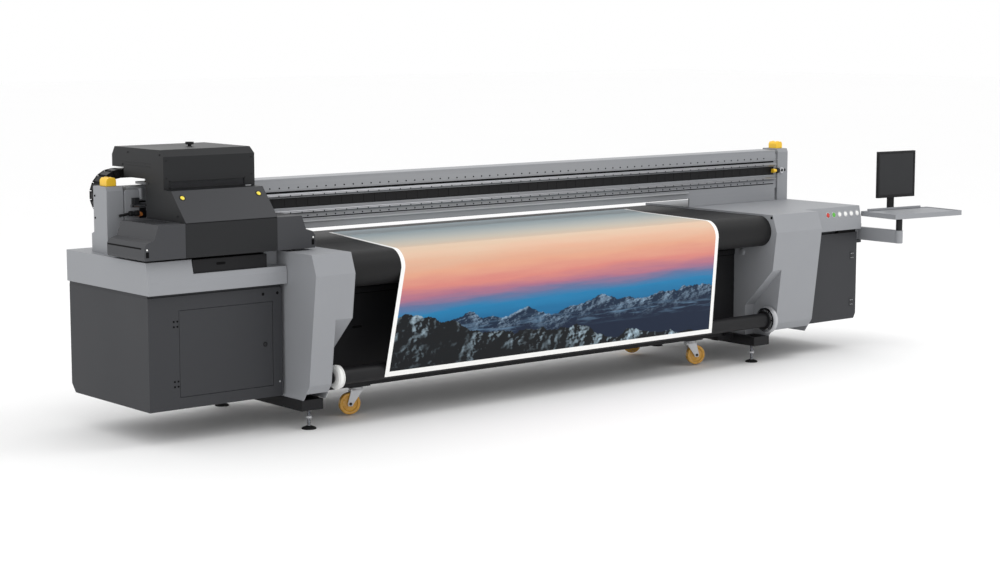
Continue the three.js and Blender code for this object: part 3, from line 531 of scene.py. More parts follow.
# ---------------------------------------------------------------- floor, camera and light
def studio():
    bm = bmesh.new()
    bmesh.ops.create_grid(bm, x_segments=2, y_segments=2, size=60)
    mesh = to_mesh("floor", bm)
    floor = bpy.data.objects.new("floor", mesh)
    bpy.context.scene.collection.objects.link(floor)
    mesh.materials.append(Look("floor_paint", linear(254, 254, 254), 0.9, 0.0, 0.1).vary(0.004, 0.3).material)

    data = bpy.data.cameras.new("camera")
    data.lens = 74.32
    camera = bpy.data.objects.new("camera", data)
    camera.location = at(-8230, -9446, 2270)
    camera.rotation_euler = (math.radians(82.81), 0, math.radians(-39.66))
    bpy.context.scene.collection.objects.link(camera)
    bpy.context.scene.camera = camera

    world = bpy.data.worlds.new("studio")
    bpy.context.scene.world = world
    world.use_nodes = True
    world.node_tree.nodes["Background"].inputs[0].default_value = (1, 1, 1, 1)
    world.node_tree.nodes["Background"].inputs[1].default_value = 1.0
    for name, place, aim, size, watts in (
            ("key", (3.5, -3.0, 7.0), (0, 0, 0.4), 4.0, 110),
            ("left_fill", (-8.0, -5.5, 4.0), (-1.5, 0, 0.6), 5.0, 40),
            ("back", (0.0, 6.0, 5.0), (0, 0, 0.8), 6.0, 40)):
        lamp = bpy.data.lights.new(name, "AREA")
        lamp.size = size
        lamp.energy = watts
        light = bpy.data.objects.new(name, lamp)
        light.location = place
        light.rotation_euler = (Vector(aim) - Vector(place)).to_track_quat("-Z", "Y").to_euler()
        bpy.context.scene.collection.objects.link(light)
    bpy.context.scene.view_settings.view_transform = "Standard"


# ---------------------------------------------------------------- base, feet and casters
CORNERS = ("front_left", "front_right", "rear_left", "rear_right")


def foot(corner):
    """Domed rubber pad, threaded stem and lock nut."""
    x0, x1, y0, y1 = span(corner + "_foot")[:4]
    place = ((x0 + x1) / 2, (y0 + y1) / 2, 0)
    pad = [(0, 0), (41.5, 0), (42, 2), (41, 6), (33, 11), (20, 15.5), (13, 19), (0, 19)]
    thread = [(0, 19), (9.9, 19), (9.9, 22)]
    for i in range(40):
        thread += [(9.9, 22.5 + i * 3.0), (8.6, 24.0 + i * 3.0)]
    thread += [(9.9, 144), (9, 149), (0, 149)]
    made = turned(corner + "_foot_stem", thread, place, "z", 24, CHROME, "machine", angle=60)
    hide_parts(corner + "_foot")
    turned(corner + "_foot_pad", pad, place, "z", 40, RUBBER, "machine")
    nut = [(10.2, 60), (15.5, 60), (17, 61.5), (17, 71.5), (15.5, 73), (10.2, 73)]
    turned(corner + "_foot_nut", nut, place, "z", 6, ZINC, "machine", 0.5)


def caster(corner):
    """A cast fork on a swivel race, and a polyurethane tread on a rim of the same amber polyurethane."""
    fork = corner + "_caster_fork"
    spin = JOINTS[corner + "_wheel_spin"]
    hub = Vector(spin["pos_m"])
    centre = ((hub.x - ORIGIN_X) * 1000, (hub.y - ORIGIN_Y) * 1000, hub.z * 1000)
    axis = spin["axis"]
    top = (*joint_place(corner + "_caster_swivel")[:2], span(fork)[5])
    dress(fork, ZINC, 2.0)

    def race(bm):
        add_lathe(bm, [(30, -1), (41, -1), (43, -4), (43, -9), (40, -12), (30, -12)], top, "z", 48)
        add_lathe(bm, [(30, -14), (38, -14), (39, -17), (38, -20), (30, -20)], top, "z", 48)

    piece(corner + "_swivel_race", race, ZINC, corner + "_swivel")

    def bolts(bm):
        for side in (-1, 1):
            place = [c + side * 27.5 * a for c, a in zip(centre, axis)]
            add_screw(bm, place, [side * a for a in axis], 9)

    piece(corner + "_axle_bolts", bolts, PLASTIC, corner + "_swivel")
    r = (span(corner + "_caster_wheel")[5] - span(corner + "_caster_wheel")[4]) / 2
    tread = [(r - 17, -17.5), (r - 8, -19), (r - 3.5, -18.2), (r - 0.8, -15), (r, -10), (r, 10),
             (r - 0.8, 15),
             (r - 3.5, 18.2), (r - 8, 19), (r - 17, 17.5)]
    made = turned(corner + "_wheel_tread", tread, centre, axis, 72, AMBER, corner + "_wheel")
    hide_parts(corner + "_caster_wheel")
    rim = [(6.3, -18.5), (15, -18.5), (17, -15), (19, -12), (r - 22, -12), (r - 17.4, -17), (r - 17.4, 17),
           (r - 22, 12), (19, 12), (17, 15), (15, 18.5), (6.3, 18.5)]
    turned(corner + "_wheel_rim", rim, centre, axis, 60, AMBER, corner + "_wheel")


def base():
    dress("base_frame", BLACK, 2.0)
    for corner in CORNERS:
        foot(corner)
        caster(corner)

    def plate_bolts(bm):
        for x in (-1360, 1360):
            for y in (150, 762):
                for dx in (-62, 62):
                    for dy in (-34, 34):
                        add_screw(bm, (x + dx, y + dy, 173), "-z", 6)

    piece("caster_plate_bolts", plate_bolts, ZINC, "machine")


# ---------------------------------------------------------------- pillars and cabinets
def pillars():
    dress("left_pillar", GREY, 2.4, 3)
    dress("right_pillar", GREY, 2.4, 3)
    x0 = span("right_pillar")[0]

    # The port is a near-black square of painted shade standing for its opening.
    boxes("right_pillar_port", [(x0 - 0.6, x0 + 2, -178, -160, 972, 990)], SHADE_AND_DARK_SCREWS, "machine")

    turned("right_pillar_boss", [(0, 9), (15, 9), (18, 6), (22, 5), (23, 3), (23, 0), (0, 0)],
           (x0, 89, 735), "-x", 40, GREY, "machine")
    left_inner = span("left_pillar")[1]

    def screws(bm):
        for y, z in ((330, 930), (330, 330), (930, 930), (930, 330)):
            add_screw(bm, (left_inner, y, z), "x", 5)
            add_screw(bm, (x0, y, z), "-x", 5)

    piece("pillar_screws", screws, ZINC, "machine")


def door_lock(name, x, y, z, body):
    """A quarter-turn cabinet lock: a black collar, a dark painted cylinder and its key slot."""
    def collar(bm):
        add_lathe(bm, [(7.5, -1), (13, -1), (14, 1), (13, 3), (9, 4), (7.5, 3)], (x, y, z), "-y", 32)

    def cylinder(bm):
        add_lathe(bm, [(0, 2.4), (6.4, 2.4), (7.2, 1.6), (7.2, -2), (0, -2)], (x, y, z), "-y", 28)
        add_box(bm, x - 1, x + 1, y - 3.2, y - 2.2, z - 4.5, z + 4.5)

    piece(name + "_collar", collar, PLASTIC, body)
    piece(name + "_cylinder", cylinder, HINGE, body)


def left_cabinet():
    dress("left_cabinet", DARK, 1.2)
    dress("left_door", DARK, 1.6)
    dress("left_hood", GREY, 1.4)
    dress("capping_station", BLACK, 2.0)
    front = span("left_cabinet")[2]
    door_front = span("left_door")[2]
    door_lock("left_door_lock", -2015, door_front, 491, "left_door")

    rows = [((x, front, z), "-y") for x in (-2594, -2572) for z in (669, 641, 343, 315)]
    screw_heads("left_door_hinge_screws", rows, 5.5, SHADE_AND_DARK_SCREWS, "machine")

    # The two ports are near-black discs of painted shade standing for their openings.
    def ports(bm):
        for x in (-2025, -1931):
            add_lathe(bm, [(0, 0.6), (6, 0.6), (7.5, 1.2), (8.5, 0.6), (8.5, -1), (0, -1)], (x, front, 771),
                      "-y", 28)

    piece("left_cabinet_ports", ports, SHADE_AND_DARK_SCREWS, "machine")
    screw_heads("left_cabinet_screw", [((-1921, front, 272), "-y")], 5, ZINC, "machine")

    station_front = span("capping_station")[2]

    # The pull slot is a near-black outline of painted shade standing for the opening.
    def pull_slot(bm):
        outline = []
        for side in (1, -1):
            for i in range(9):
                a = math.pi * (i / 8 - 0.5)
                outline.append((-2300 + side * (22 + 7 * math.cos(a)), 965 + side * 7 * math.sin(a)))
        add_prism(bm, outline, "y", station_front - 0.8, station_front + 1)

    piece("capping_station_pull", pull_slot, SHADE_AND_DARK_SCREWS, "machine")
    trough = span("capping_station")

    def wiper(bm):
        for i in range(6):
            x = trough[0] + 66 + i * 62
            add_box(bm, x, x + 34, trough[2] + 90, trough[2] + 380, trough[4] + 32, trough[4] + 44)
            add_box(bm, x + 8, x + 26, trough[2] + 100, trough[2] + 370, trough[4] + 44, trough[4] + 47)

    piece("capping_pads", wiper, RUBBER, "machine", 1.0)


RIGHT_HINGES_Z = (653, 327)


def right_cabinet():
    dress("right_cabinet", DARK, 1.2)
    dress("right_door", DARK, 2.0)
    dress("right_desk", GREY, 1.4)
    front = span("right_door")[2]

    rows = [(2722, 2758, front - 2.2, front + 1, z - 26, z + 26) for z in RIGHT_HINGES_Z]
    boxes("right_door_hinges", rows, HINGE, "right_door", 1.0)

    def hinge_screws(bm):
        for z in RIGHT_HINGES_Z:
            for dx in (-9, 9):
                for dz in (-15, 15):
                    add_screw(bm, (2740 + dx, front - 2.2, z + dz), "-y", 3.6)

    piece("right_door_hinge_screws", hinge_screws, ZINC, "right_door")
    door_lock("right_door_lock", 2285, front, 515, "right_door")
    desk_front = span("right_desk")[2]

    # The notch is a near-black box of painted shadow in the gap between door and desk.
    boxes("right_desk_notch", [(2563, 2739, desk_front + 8, desk_front + 34, 819, 839)], SHADE_AND_DARK_SCREWS, "machine",
          1.0)

    # The louvres are near-black slats of painted shade standing for the openings between them.
    def louvres(bm):
        for i in range(12):
            z = 330 + i * 22
            add_prism(bm, [(520, z), (780, z), (780, z + 10), (520, z + 10)], "x", 2786.4, 2788.5)

    piece("right_cabinet_louvres", louvres, SHADE_AND_DARK_SCREWS, "machine", 0.8)


BUTTONS = (("red", RED), ("green", GREEN), ("first_white", WHITE), ("second_white", WHITE),
           ("third_white", WHITE),
           ("fourth_white", WHITE))
DESK_EDGE = 905
DESK_FRONT = span("right_desk")[2]
DESK_LEAN = 20 / 95
BUTTON_Z = 950


def desk_buttons():
    """Round caps in bright bezels on the sloping front of the desk."""
    axis = Vector(JOINTS["red_press"]["axis"])
    for name, material in BUTTONS:
        node = name + "_button"
        x0, x1 = span(node)[:2]
        place = ((x0 + x1) / 2, DESK_FRONT + (BUTTON_Z - DESK_EDGE) * DESK_LEAN, BUTTON_Z)
        cap = [(0, 5.0), (8, 4.9), (12, 4.2), (14.5, 2.6), (15.5, 0.5), (15.8, -2), (15.8, -9),
               (18.8, -9.2),
               (18.8, -13), (0, -13)]
        made = turned(name + "_cap", cap, place, axis, 48, material, node)
        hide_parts(node)
        ring = [(16.6, 0.2), (17.2, 2.6), (19, 3.2), (21, 2.2), (21.6, 0.2), (21.4, -0.5), (16.6, -0.5)]
        turned(name + "_bezel", ring, place, axis, 48, ZINC, "machine")


# ---------------------------------------------------------------- table, belt, panels
PULLS_X = (-1339, 0, 1339)


def table():
    dress("vacuum_table", ALUMINIUM, 1.0)
    dress("conveyor_belt", BELT, 0)
    for node in ("front_belt_roller", "rear_belt_roller"):
        dress(node, STEEL, 0.8)
    for node in ("front_panel", "rear_panel"):
        dress(node, BLACK, 1.6)
    y = span("front_panel")[2]

    # The seams are near-black lines of painted shade in the panel's grooves.
    def seams(bm):
        add_box(bm, TABLE_X0 + 4, TABLE_X1 - 4, y - 0.7, y + 1, 709, 713)
        for x in (-560, 560):
            add_box(bm, x - 1.5, x + 1.5, y - 0.7, y + 1, 284, 709)

    piece("front_panel_seams", seams, SHADE_AND_DARK_SCREWS, "machine")

    def top_rail(bm):
        add_prism(bm, [(y - 7, 716), (y - 7, 742), (y - 4, 747), (y + 6, 747), (y + 6, 716)], "x",
                  TABLE_X0 + 4, TABLE_X1 - 4)

    piece("front_panel_top_rail", top_rail, BLACK, "machine", 1.0)

    # The pull slots are near-black boxes of painted shade standing for the openings.
    rows = [(x - 32, x + 32, y - 1, y + 1, 509, 523) for x in PULLS_X]
    boxes("front_panel_slots", rows, SHADE_AND_DARK_SCREWS, "machine", 0.6)

    def pull_rims(bm):
        for x in PULLS_X:
            add_box(bm, x - 36, x + 36, y - 2.2, y + 1, 523.5, 527.5)
            add_box(bm, x - 36, x + 36, y - 2.2, y + 1, 504.5, 508.5)

    piece("front_panel_slot_rims", pull_rims, BLACK, "machine", 0.8)

    rows = [((x, y, z), "-y") for x in (-1590, -600, -520, 520, 600, 1760) for z in (300, 500, 690)]
    screw_heads("front_panel_screws", rows, 5, PLASTIC, "machine")


# ---------------------------------------------------------------- the printed sheet
MEDIA_EDGES = [(860, -1041, 1439), (601, -1104, 1370), (-70, -1264, 1287)]
MEDIA_FOOT = (262, -1360, 1272)


def sheet_row(travel, flat, arc, foot_drop, lean, lift):
    """Height, depth and the two edges of the sheet after some travel from its rear end."""
    rear = MEDIA_EDGES[0][0]
    r = NOSE_R + 0.6 + lift
    if travel <= flat:
        y = rear - travel
        z = BELT_Z1 + 0.3 + 0.3 * travel / flat + lift
        for (y1, l1, r1), (y2, l2, r2) in zip(MEDIA_EDGES, MEDIA_EDGES[1:]):
            if y2 <= y <= y1:
                t = (y1 - y) / (y1 - y2)
                return y, z, l1 + (l2 - l1) * t, r1 + (r2 - r1) * t
        return y, z, MEDIA_EDGES[-1][1], MEDIA_EDGES[-1][2]
    left, right = MEDIA_EDGES[-1][1:]
    if travel <= flat + arc:
        a = math.pi / 2 + (math.pi / 2 + lean) * (travel - flat) / arc
        return NOSE_Y + math.cos(a) * r, NOSE_Z + math.sin(a) * r, left, right
    t = (travel - flat - arc) / foot_drop
    a = math.pi + lean
    y0, z0 = NOSE_Y + math.cos(a) * r, NOSE_Z + math.sin(a) * r
    z1, left1, right1 = MEDIA_FOOT
    y1 = span("take_up_shaft")[2] - 0.8 - lift
    return y0 + (y1 - y0) * t, z0 + (z1 - z0) * t, left + (left1 - left) * t, right + (right1 - right) * t


def printed_sheet():
    """The web, 0.5 mm thick, over the table, round the nose and down to the take-up shaft."""
    flat = MEDIA_EDGES[0][0] - NOSE_Y
    shaft_front = span("take_up_shaft")[2]
    lean = math.atan2(shaft_front - 1.5 - (NOSE_Y - NOSE_R - 0.6), NOSE_Z - MEDIA_FOOT[0])
    arc = (NOSE_R + 0.6) * (math.pi / 2 + lean)
    drop = math.hypot(NOSE_Z - MEDIA_FOOT[0], shaft_front - NOSE_Y + NOSE_R) - NOSE_R * lean
    length = flat + arc + drop
    stops = [flat * i / 24 for i in range(24)] + [flat + arc * i / 28 for i in range(28)]
    stops += [flat + arc + drop * i / 20 for i in range(21)]
    columns = 24
    bm = bmesh.new()
    layer = bm.loops.layers.uv.new("sheet")
    grids = []
    for lift in (0.1, 0.6):
        rows = []
        for travel in stops:
            y, z, left, right = sheet_row(travel, flat, arc, drop, lean, lift)
            width = right - left
            rows.append([(bm.verts.new(at(left + width * i / columns, y, z)), i / columns, travel / length)
                         for i in range(columns + 1)])
        grids.append(rows)

    def face(corners):
        made = bm.faces.new([c[0] for c in corners])
        for loop, c in zip(made.loops, corners):
            loop[layer].uv = (c[1], c[2])

    for k, rows in enumerate(grids):
        for a, b in zip(rows, rows[1:]):
            for i in range(columns):
                face((a[i], a[i + 1], b[i + 1], b[i]))
    low, high = grids
    for j in range(len(stops) - 1):
        for i in (0, columns):
            face((low[j][i], low[j + 1][i], high[j + 1][i], high[j][i]))
    for j in (0, len(stops) - 1):
        for i in range(columns):
            face((low[j][i], low[j][i + 1], high[j][i + 1], high[j][i]))
    bmesh.ops.recalc_face_normals(bm, faces=bm.faces)
    made = present("printed_sheet", to_mesh("printed_sheet", bm), PRINT, "machine", 0, angle=60)
    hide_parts("printed_media")


# ---------------------------------------------------------------- take-up and feed shafts
def add_spokes(bm, count, shape, hub, x0, x1):
    """Flat spokes round a hub at (y, z), from an outline of (radius, offset)."""
    y, z = hub
    for i in range(count):
        a = 2 * math.pi * i / count
        outline = [(y + r * math.cos(a) - off * math.sin(a), z + r * math.sin(a) + off * math.cos(a))
                   for r, off in shape]
        add_prism(bm, outline, "x", x0, x1)


def shafts():
    dress("take_up_shaft", PLASTIC, 1.0)
    dress("feed_shaft", PLASTIC, 1.0)
    dress("left_chuck", WHITE, 1.0)
    dress("right_chuck", ZINC, 1.0)
    y0, y1, z0, z1 = span("left_chuck")[2:]
    y, z = (y0 + y1) / 2, (z0 + z1) / 2
    left = span("left_chuck")[1]
    right = span("right_chuck")[0]

    turned("left_chuck_web", [(0, 1.5), (49, 1.5), (49, 0.2), (0, 0.2)], (left, y, z), "x", 64, HINGE,
           "take_up")

    def left_arms(bm):
        add_lathe(bm, [(0, 9), (14, 9), (18, 6), (18, 0.5), (0, 0.5)], (left, y, z), "x", 40)
        add_spokes(bm, 5, ((12, -5), (54, -3.5), (54, 3.5), (12, 5)), (y, z), left + 1, left + 5)

    piece("left_chuck_arms", left_arms, WHITE, "take_up", 0.5)

    turned("left_chuck_rim", [(50, -2), (64, -2), (66, 0), (66, 3), (62, 5), (52, 5), (50, 3)],
           (left, y, z), "x", 72, WHITE, "take_up")

    turned("right_chuck_flange", [(16, 0), (60, 0), (62, 2), (62, 7), (58, 9), (34, 9), (32, 16), (16, 16)],
           (right - 24, y, z), "x", 64, BLACK, "take_up")

    def star(bm):
        add_lathe(bm, [(66, 0), (80, 0), (82, 2), (80, 5), (68, 5), (66, 3)], (right - 8, y, z), "x", 72)
        add_spokes(bm, 6, ((20, -7), (70, -4), (70, 4), (20, 7)), (y, z), right - 7, right - 3)

    piece("right_chuck_star", star, CHROME, "take_up", 0.5)

    def clamp_screws(bm):
        for i in range(6):
            a = 2 * math.pi * (i + 0.5) / 6
            add_screw(bm, (right - 15, y + 48 * math.cos(a), z + 48 * math.sin(a)), "-x", 6)
            add_screw(bm, (left + 1, y + 34 * math.cos(a), z + 34 * math.sin(a)), "x", 4)

    piece("chuck_screws", clamp_screws, ZINC, "take_up")

    def bearings(bm):
        for x, side in ((left - 46, -1), (right + 30, 1)):
            add_lathe(bm, [(16.5, 0), (34, 0), (36, 2), (36, 10), (16.5, 10)], (x, y, z), (side, 0, 0), 48)

    piece("take_up_bearings", bearings, BLACK, "machine", 0.6)


# ---------------------------------------------------------------- beam and towers
LIP_X = (-1616, 1770)
CABLE_Z = 1212


def beam():
    dress("beam", ALUMINIUM, 1.0)
    dress("lower_guide_rail", STEEL, 0.8)
    dress("upper_guide_rail", STEEL, 0.8)
    x0, x1, face = span("beam")[:3]

    boxes("motor_magnet_track", [(x0 + 6, x1 - 6, face + 11, face + 13.8, 1184, 1240)], PLASTIC, "machine",
          0.5)

    def magnets(bm):
        for i in range(64):
            x = x0 + 48 + i * 81.3
            add_box(bm, x - 39, x + 39, face + 9.4, face + 12, 1188, 1236)

    piece("motor_magnets", magnets, BLACK, "machine", 0.6)

    def bolts(bm):
        for i in range(78):
            x = x0 + 34 + i * 66
            add_screw(bm, (x, face + 0.2, 1301), "-y", 4.6, 10)
            add_screw(bm, (x, face + 0.2, 1131), "-y", 4.6, 10)

    piece("beam_bolts", bolts, SHADE_AND_DARK_SCREWS, "machine")

    def rail_bolts(bm):
        y = span("upper_guide_rail")[2]
        for i in range(64):
            for z in (1156, 1256):
                add_lathe(bm, [(0, 0.2), (3.5, 0.2), (4.4, 0.4), (4.4, -1), (0, -1)],
                          (x0 + 44 + i * 80, y, z), "-y", 10)

    piece("rail_bolt_caps", rail_bolts, SHADE_AND_DARK_SCREWS, "machine")

    def ribs(bm):
        for z in (1350, 1290, 1176, 1140):
            add_prism(bm, [(face + 1, z - 2), (face - 1.4, z - 1.2), (face - 1.4, z + 1.2),
                           (face + 1, z + 2)], "x", x0 + 2, x1 - 2)

    piece("beam_ribs", ribs, ALUMINIUM, "machine")

    def lip(bm):
        add_prism(bm, [(face + 1, 1090), (face - 10, 1091), (face - 15, 1094), (face - 15, 1099),
                       (face - 11, 1103),
                       (face + 1, 1104)], "x", *LIP_X)

    piece("beam_lip", lip, LIP_METAL, "machine", 0.8)

    # The grooves hold near-black strips of painted shade.
    rows = [(x0 + 12, x1 - 40, face + 2.5, face + 5.9, z0, z1) for z0, z1 in ((1267, 1283), (1115, 1123))]
    boxes("beam_grooves", rows, SHADE_AND_DARK_SCREWS, "machine")

    # A black strip of painted shade along the beam's lower edge, under the lip.
    boxes("beam_under_strip", [(*LIP_X, face + 4, face + 40, 1055, 1059)], BLACK, "machine", 0.6)


def towers():
    for side in ("left", "right"):
        dress(side + "_tower", GREY, 2.4, 3)
        stop_block(side)
    x0, x1, y0 = span("left_tower")[:3]
    beam_x0 = span("beam")[0]

    def screws(bm):
        for z in (1311, 1189):
            add_screw(bm, (x0, 731, z), "-x", 6)
            add_screw(bm, (span("right_tower")[1], 731, z), "x", 6)

    piece("tower_screws", screws, SHADE_AND_DARK_SCREWS, "machine")

    boxes("left_end_plate", [(beam_x0 + 3, beam_x0 + 92, y0 - 9, y0 + 0.5, 1066, 1344),
                             (beam_x0 + 92, beam_x0 + 104, y0 - 26, y0 + 0.5, 1290, 1352)], GREY, "machine",
          1.2)

    boxes("left_sensor", [(beam_x0 + 44, beam_x0 + 84, y0 - 24, y0 - 8, 1262, 1300),
                          (beam_x0 + 50, beam_x0 + 62, y0 - 30, y0 - 22, 1268, 1294)], HINGE, "machine",
          1.0)

    def rod(bm):
        z, y = CABLE_Z, y0 - 34
        add_tube(bm, [(x0 + 58, y, z - 5), (x1 + 18, y, z + 3)], 8, 20)
        add_lathe(bm, [(0, 0), (13, 0), (15, 2), (15, 20), (12, 22), (12, 34), (16, 36), (16, 58), (0, 58)],
                  (x1 + 14, y, z + 3), "x", 28)
        add_box(bm, x1 + 40, x1 + 60, y + 6, y0 - 8, z - 10, z + 12)

    piece("left_cable_gland", rod, PLASTIC, "machine", 0.6)

    turned("left_valve_knob", [(0, 22), (9, 22), (11, 20), (11, 4), (14, 2), (14, 0), (0, 0)],
           (x1 + 92, y0 - 9, 1208), (0, -1, 0), 28, ORANGE, "machine")
    right_fittings()


def stop_block(side):
    """The travel stop: a moulded yellow block with two raised lugs."""
    node = side + "_stop_block"
    dress(node, YELLOW, 3.0, 3)
    x0, x1, y0, y1, _, z1 = span(node)

    def lugs(bm):
        for y in (y0 + 16, y1 - 16):
            add_lathe(bm, [(0, 5), (9, 5), (11, 3), (11, -1), (0, -1)], ((x0 + x1) / 2, y, z1 - 2), "z", 28)

    piece(side + "_stop_lugs", lugs, YELLOW, "machine")


def right_fittings():
    """The motor cable's gland and the buffer at the right end of the beam's slot."""
    x0, _, y0 = span("right_tower")[:3]
    z = CABLE_Z

    def gland(bm):
        add_lathe(bm, [(0, 20), (13, 20), (17, 17), (17, 6), (20, 4), (20, 0), (0, 0)], (x0 - 6, y0, z),
                  "-y", 36)
        add_lathe(bm, [(0, 1.5), (9, 1.5), (10, 0.5), (10, -1), (0, -1)], (x0 + 74, y0, z), "-y", 28)

    piece("right_cable_gland", gland, PLASTIC, "machine")

    turned("right_cable_ring", [(11, 12), (16, 13), (21, 11), (22, 6), (22, 0), (11, 0)], (x0 + 34, y0, z),
           "-y", 40, ZINC, "machine")

    # The bore is a near-black disc of painted shade inside the ring.
    turned("right_cable_bore", [(0, 7), (11.5, 7), (11.5, -1), (0, -1)], (x0 + 34, y0, z), "-y", 28, SHADE_AND_DARK_SCREWS,
           "machine")

    def buffer(bm):
        add_lathe(bm, [(0, 0), (12, 0), (15, 3), (15, 14), (11, 17), (11, 32), (0, 32)],
                  (x0 - 64, y0 - 14, z), "x", 32)
        add_box(bm, x0 - 62, x0 - 40, y0 - 12, y0 + 4, z - 14, z + 14)

    piece("right_buffer", buffer, YELLOW, "machine", 0.6)


# ---------------------------------------------------------------- carriage
def lattice(bm, x0, x1, y0, y1, z0, z1, pitch, bar):
    """Two sets of crossing bars at 45 degrees, clipped to a rectangle."""
    height = z1 - z0
    count = int((x1 - x0 + height) / pitch)
    for lean in (1, -1):
        for i in range(count):
            start = x0 - height + i * pitch + pitch / 2
            ends = []
            for t in (0, 1):
                ends.append((start + t * height, z0 + height * (t if lean > 0 else 1 - t)))
            (xa, za), (xb, zb) = ends
            if xa < x0:
                za += (x0 - xa) * (zb - za) / (xb - xa)
                xa = x0
            if xb > x1:
                zb -= (xb - x1) * (zb - za) / (xb - xa)
                xb = x1
            if xb - xa < 3:
                continue
            up = bar / 2 * math.sqrt(2)
            outline = [(xa, za - up), (xb, zb - up), (xb, zb + up), (xa, za + up)]
            add_prism(bm, outline, "y", y0 if lean > 0 else y0 + 1.5, y1)


def carriage():
    dress("carriage_housing", CARRIAGE, 1.3)
    dress("front_cover", COVER, 1.0)
    dress("print_heads", STEEL, 1.0)
    dress("trolley", ALUMINIUM, 1.5)
    x0, x1 = span("carriage_housing")[:2]
    face = 262

    def grille(bm):
        lattice(bm, x0 + 42, x1 - 68, face + 3, face + 8, 1373, 1405, 11, 2.6)

    piece("carriage_grille", grille, COVER, "carriage")

    def grille_rim(bm):
        gx0, gx1 = x0 + 36, x1 - 62
        for a, b, c, d in ((gx0, gx1, 1367, 1373), (gx0, gx1, 1405, 1411), (gx0, gx0 + 7, 1367, 1411),
                           (gx1 - 7, gx1, 1367, 1411)):
            add_box(bm, a, b, face - 2, face + 1, c, d)

    piece("carriage_grille_rim", grille_rim, CARRIAGE, "carriage", 0.8)
    # A near-black sheet of painted shade behind the grille.
    boxes("carriage_grille_backing", [(x0 + 40, x1 - 66, face + 14, face + 16, 1370, 1408)], SHADE_AND_DARK_SCREWS,
          "carriage")

    # The seam is a near-black strip of painted shade.
    boxes("carriage_seams", [(x0 - 0.5, x1 + 0.5, 39.2, 45, 1195, 1197)], SHADE_AND_DARK_SCREWS, "carriage")

    def groove(bm):
        for x, side in ((x0, -1), (x1, 1)):
            for z in (1478, 1494):
                add_box(bm, min(x, x + side * 1.2) - 0.2, max(x, x + side * 1.2) + 0.2, 400, 720, z, z + 3)

    piece("carriage_side_ribs", groove, CARRIAGE, "carriage", 0.5)

    def screws(bm):
        for x, side in ((x0, -1), (x1, 1)):
            for y, z in ((700, 1480), (420, 1390), (300, 1550), (640, 1550), (120, 1230)):
                add_screw(bm, (x, y, z), (side, 0, 0), 5)
        for x in (x0 + 20, x1 - 20):
            for z in (1425, 1520):
                add_screw(bm, (x, face, z), "-y", 4)

    piece("carriage_screws", screws, PLASTIC, "carriage")

    turned("carriage_top_knob", [(0, 25), (15, 25), (21, 23), (24, 19), (24, 14), (21, 11), (10, 10),
                                 (10, 2), (14, 0), (0, 0)], (-2217, 518, 1575), "z", 48, PLASTIC,
           "carriage")

    def bracket(bm):
        add_prism(bm, [(x1 - 70, 1366), (x1 - 30, 1366), (x1 - 50, 1350)], "y", 250, 256)

    piece("carriage_bracket", bracket, ZINC, "carriage", 0.6)
    for side in ("left", "right"):
        lamp(side)
        pause_button(side)


def lamp(side):
    """A curing lamp box with its shutter slot, indicator and air vents."""
    node = side + "_uv_lamp"
    dress(node, LAMP, 2.2, 3)
    x0, x1, y0, y1, _, z1 = span(node)
    outer, sign = (x0, -1) if side == "left" else (x1, 1)

    # The shutter slot and the front slot are near-black boxes of painted shade.
    def slots(bm):
        add_box(bm, min(outer, outer + sign * 0.8), max(outer, outer + sign * 0.8), y0 + 34, y1 - 6, 1073,
                1081)
        a, b = sorted((outer - sign * 8, outer - sign * 26))
        add_box(bm, a, b, y0 - 0.8, y0 + 1, 1030, 1060)

    piece(side + "_lamp_slots", slots, SHADE_AND_DARK_SCREWS, "carriage")
    turned(side + "_lamp_light", [(0, 1.6), (4, 1.5), (5, 0.6), (5, -1), (0, -1)],
           (outer - sign * 15, y0, 1072), (0, -1, 0), 24, WHITE, "carriage")

    # The vents are near-black slits of painted shade.
    def vents(bm):
        for i in range(7):
            y = y0 + 90 + i * 34
            a, b = sorted((outer - sign * 100, outer - sign * 230))
            add_box(bm, a, b, y, y + 9, z1 - 0.6, z1 + 0.6)

    piece(side + "_lamp_vents", vents, SHADE_AND_DARK_SCREWS, "carriage", 0.3)


def pause_button(side):
    """An oval soft-touch button in a black seat on the sloping cover."""
    node = side + "_pause_button"
    axis = Vector(JOINTS[side + "_pause_press"]["axis"])
    x0, x1 = span(node)[:2]
    centre = ((x0 + x1) / 2, 152, 1322)
    cap = [(0, 8), (6, 7.9), (10, 7.2), (12.2, 5.6), (12.8, 3.6), (12.8, -9), (15.8, -9.2), (15.8, -13),
           (0, -13)]
    made = turned(side + "_pause_cap", cap, centre, axis, 48, PALE_YELLOW, node)
    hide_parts(node)
    seat = [(13.7, 3.2), (13.9, 5.0), (16, 5.6), (18, 5.0), (18.6, 3.4), (18.4, 2.8), (13.7, 2.8)]
    turned(side + "_pause_seat", seat, centre, axis, 48, PLASTIC, "carriage")


# ---------------------------------------------------------------- energy chain
CHAIN_BAND = 50.0


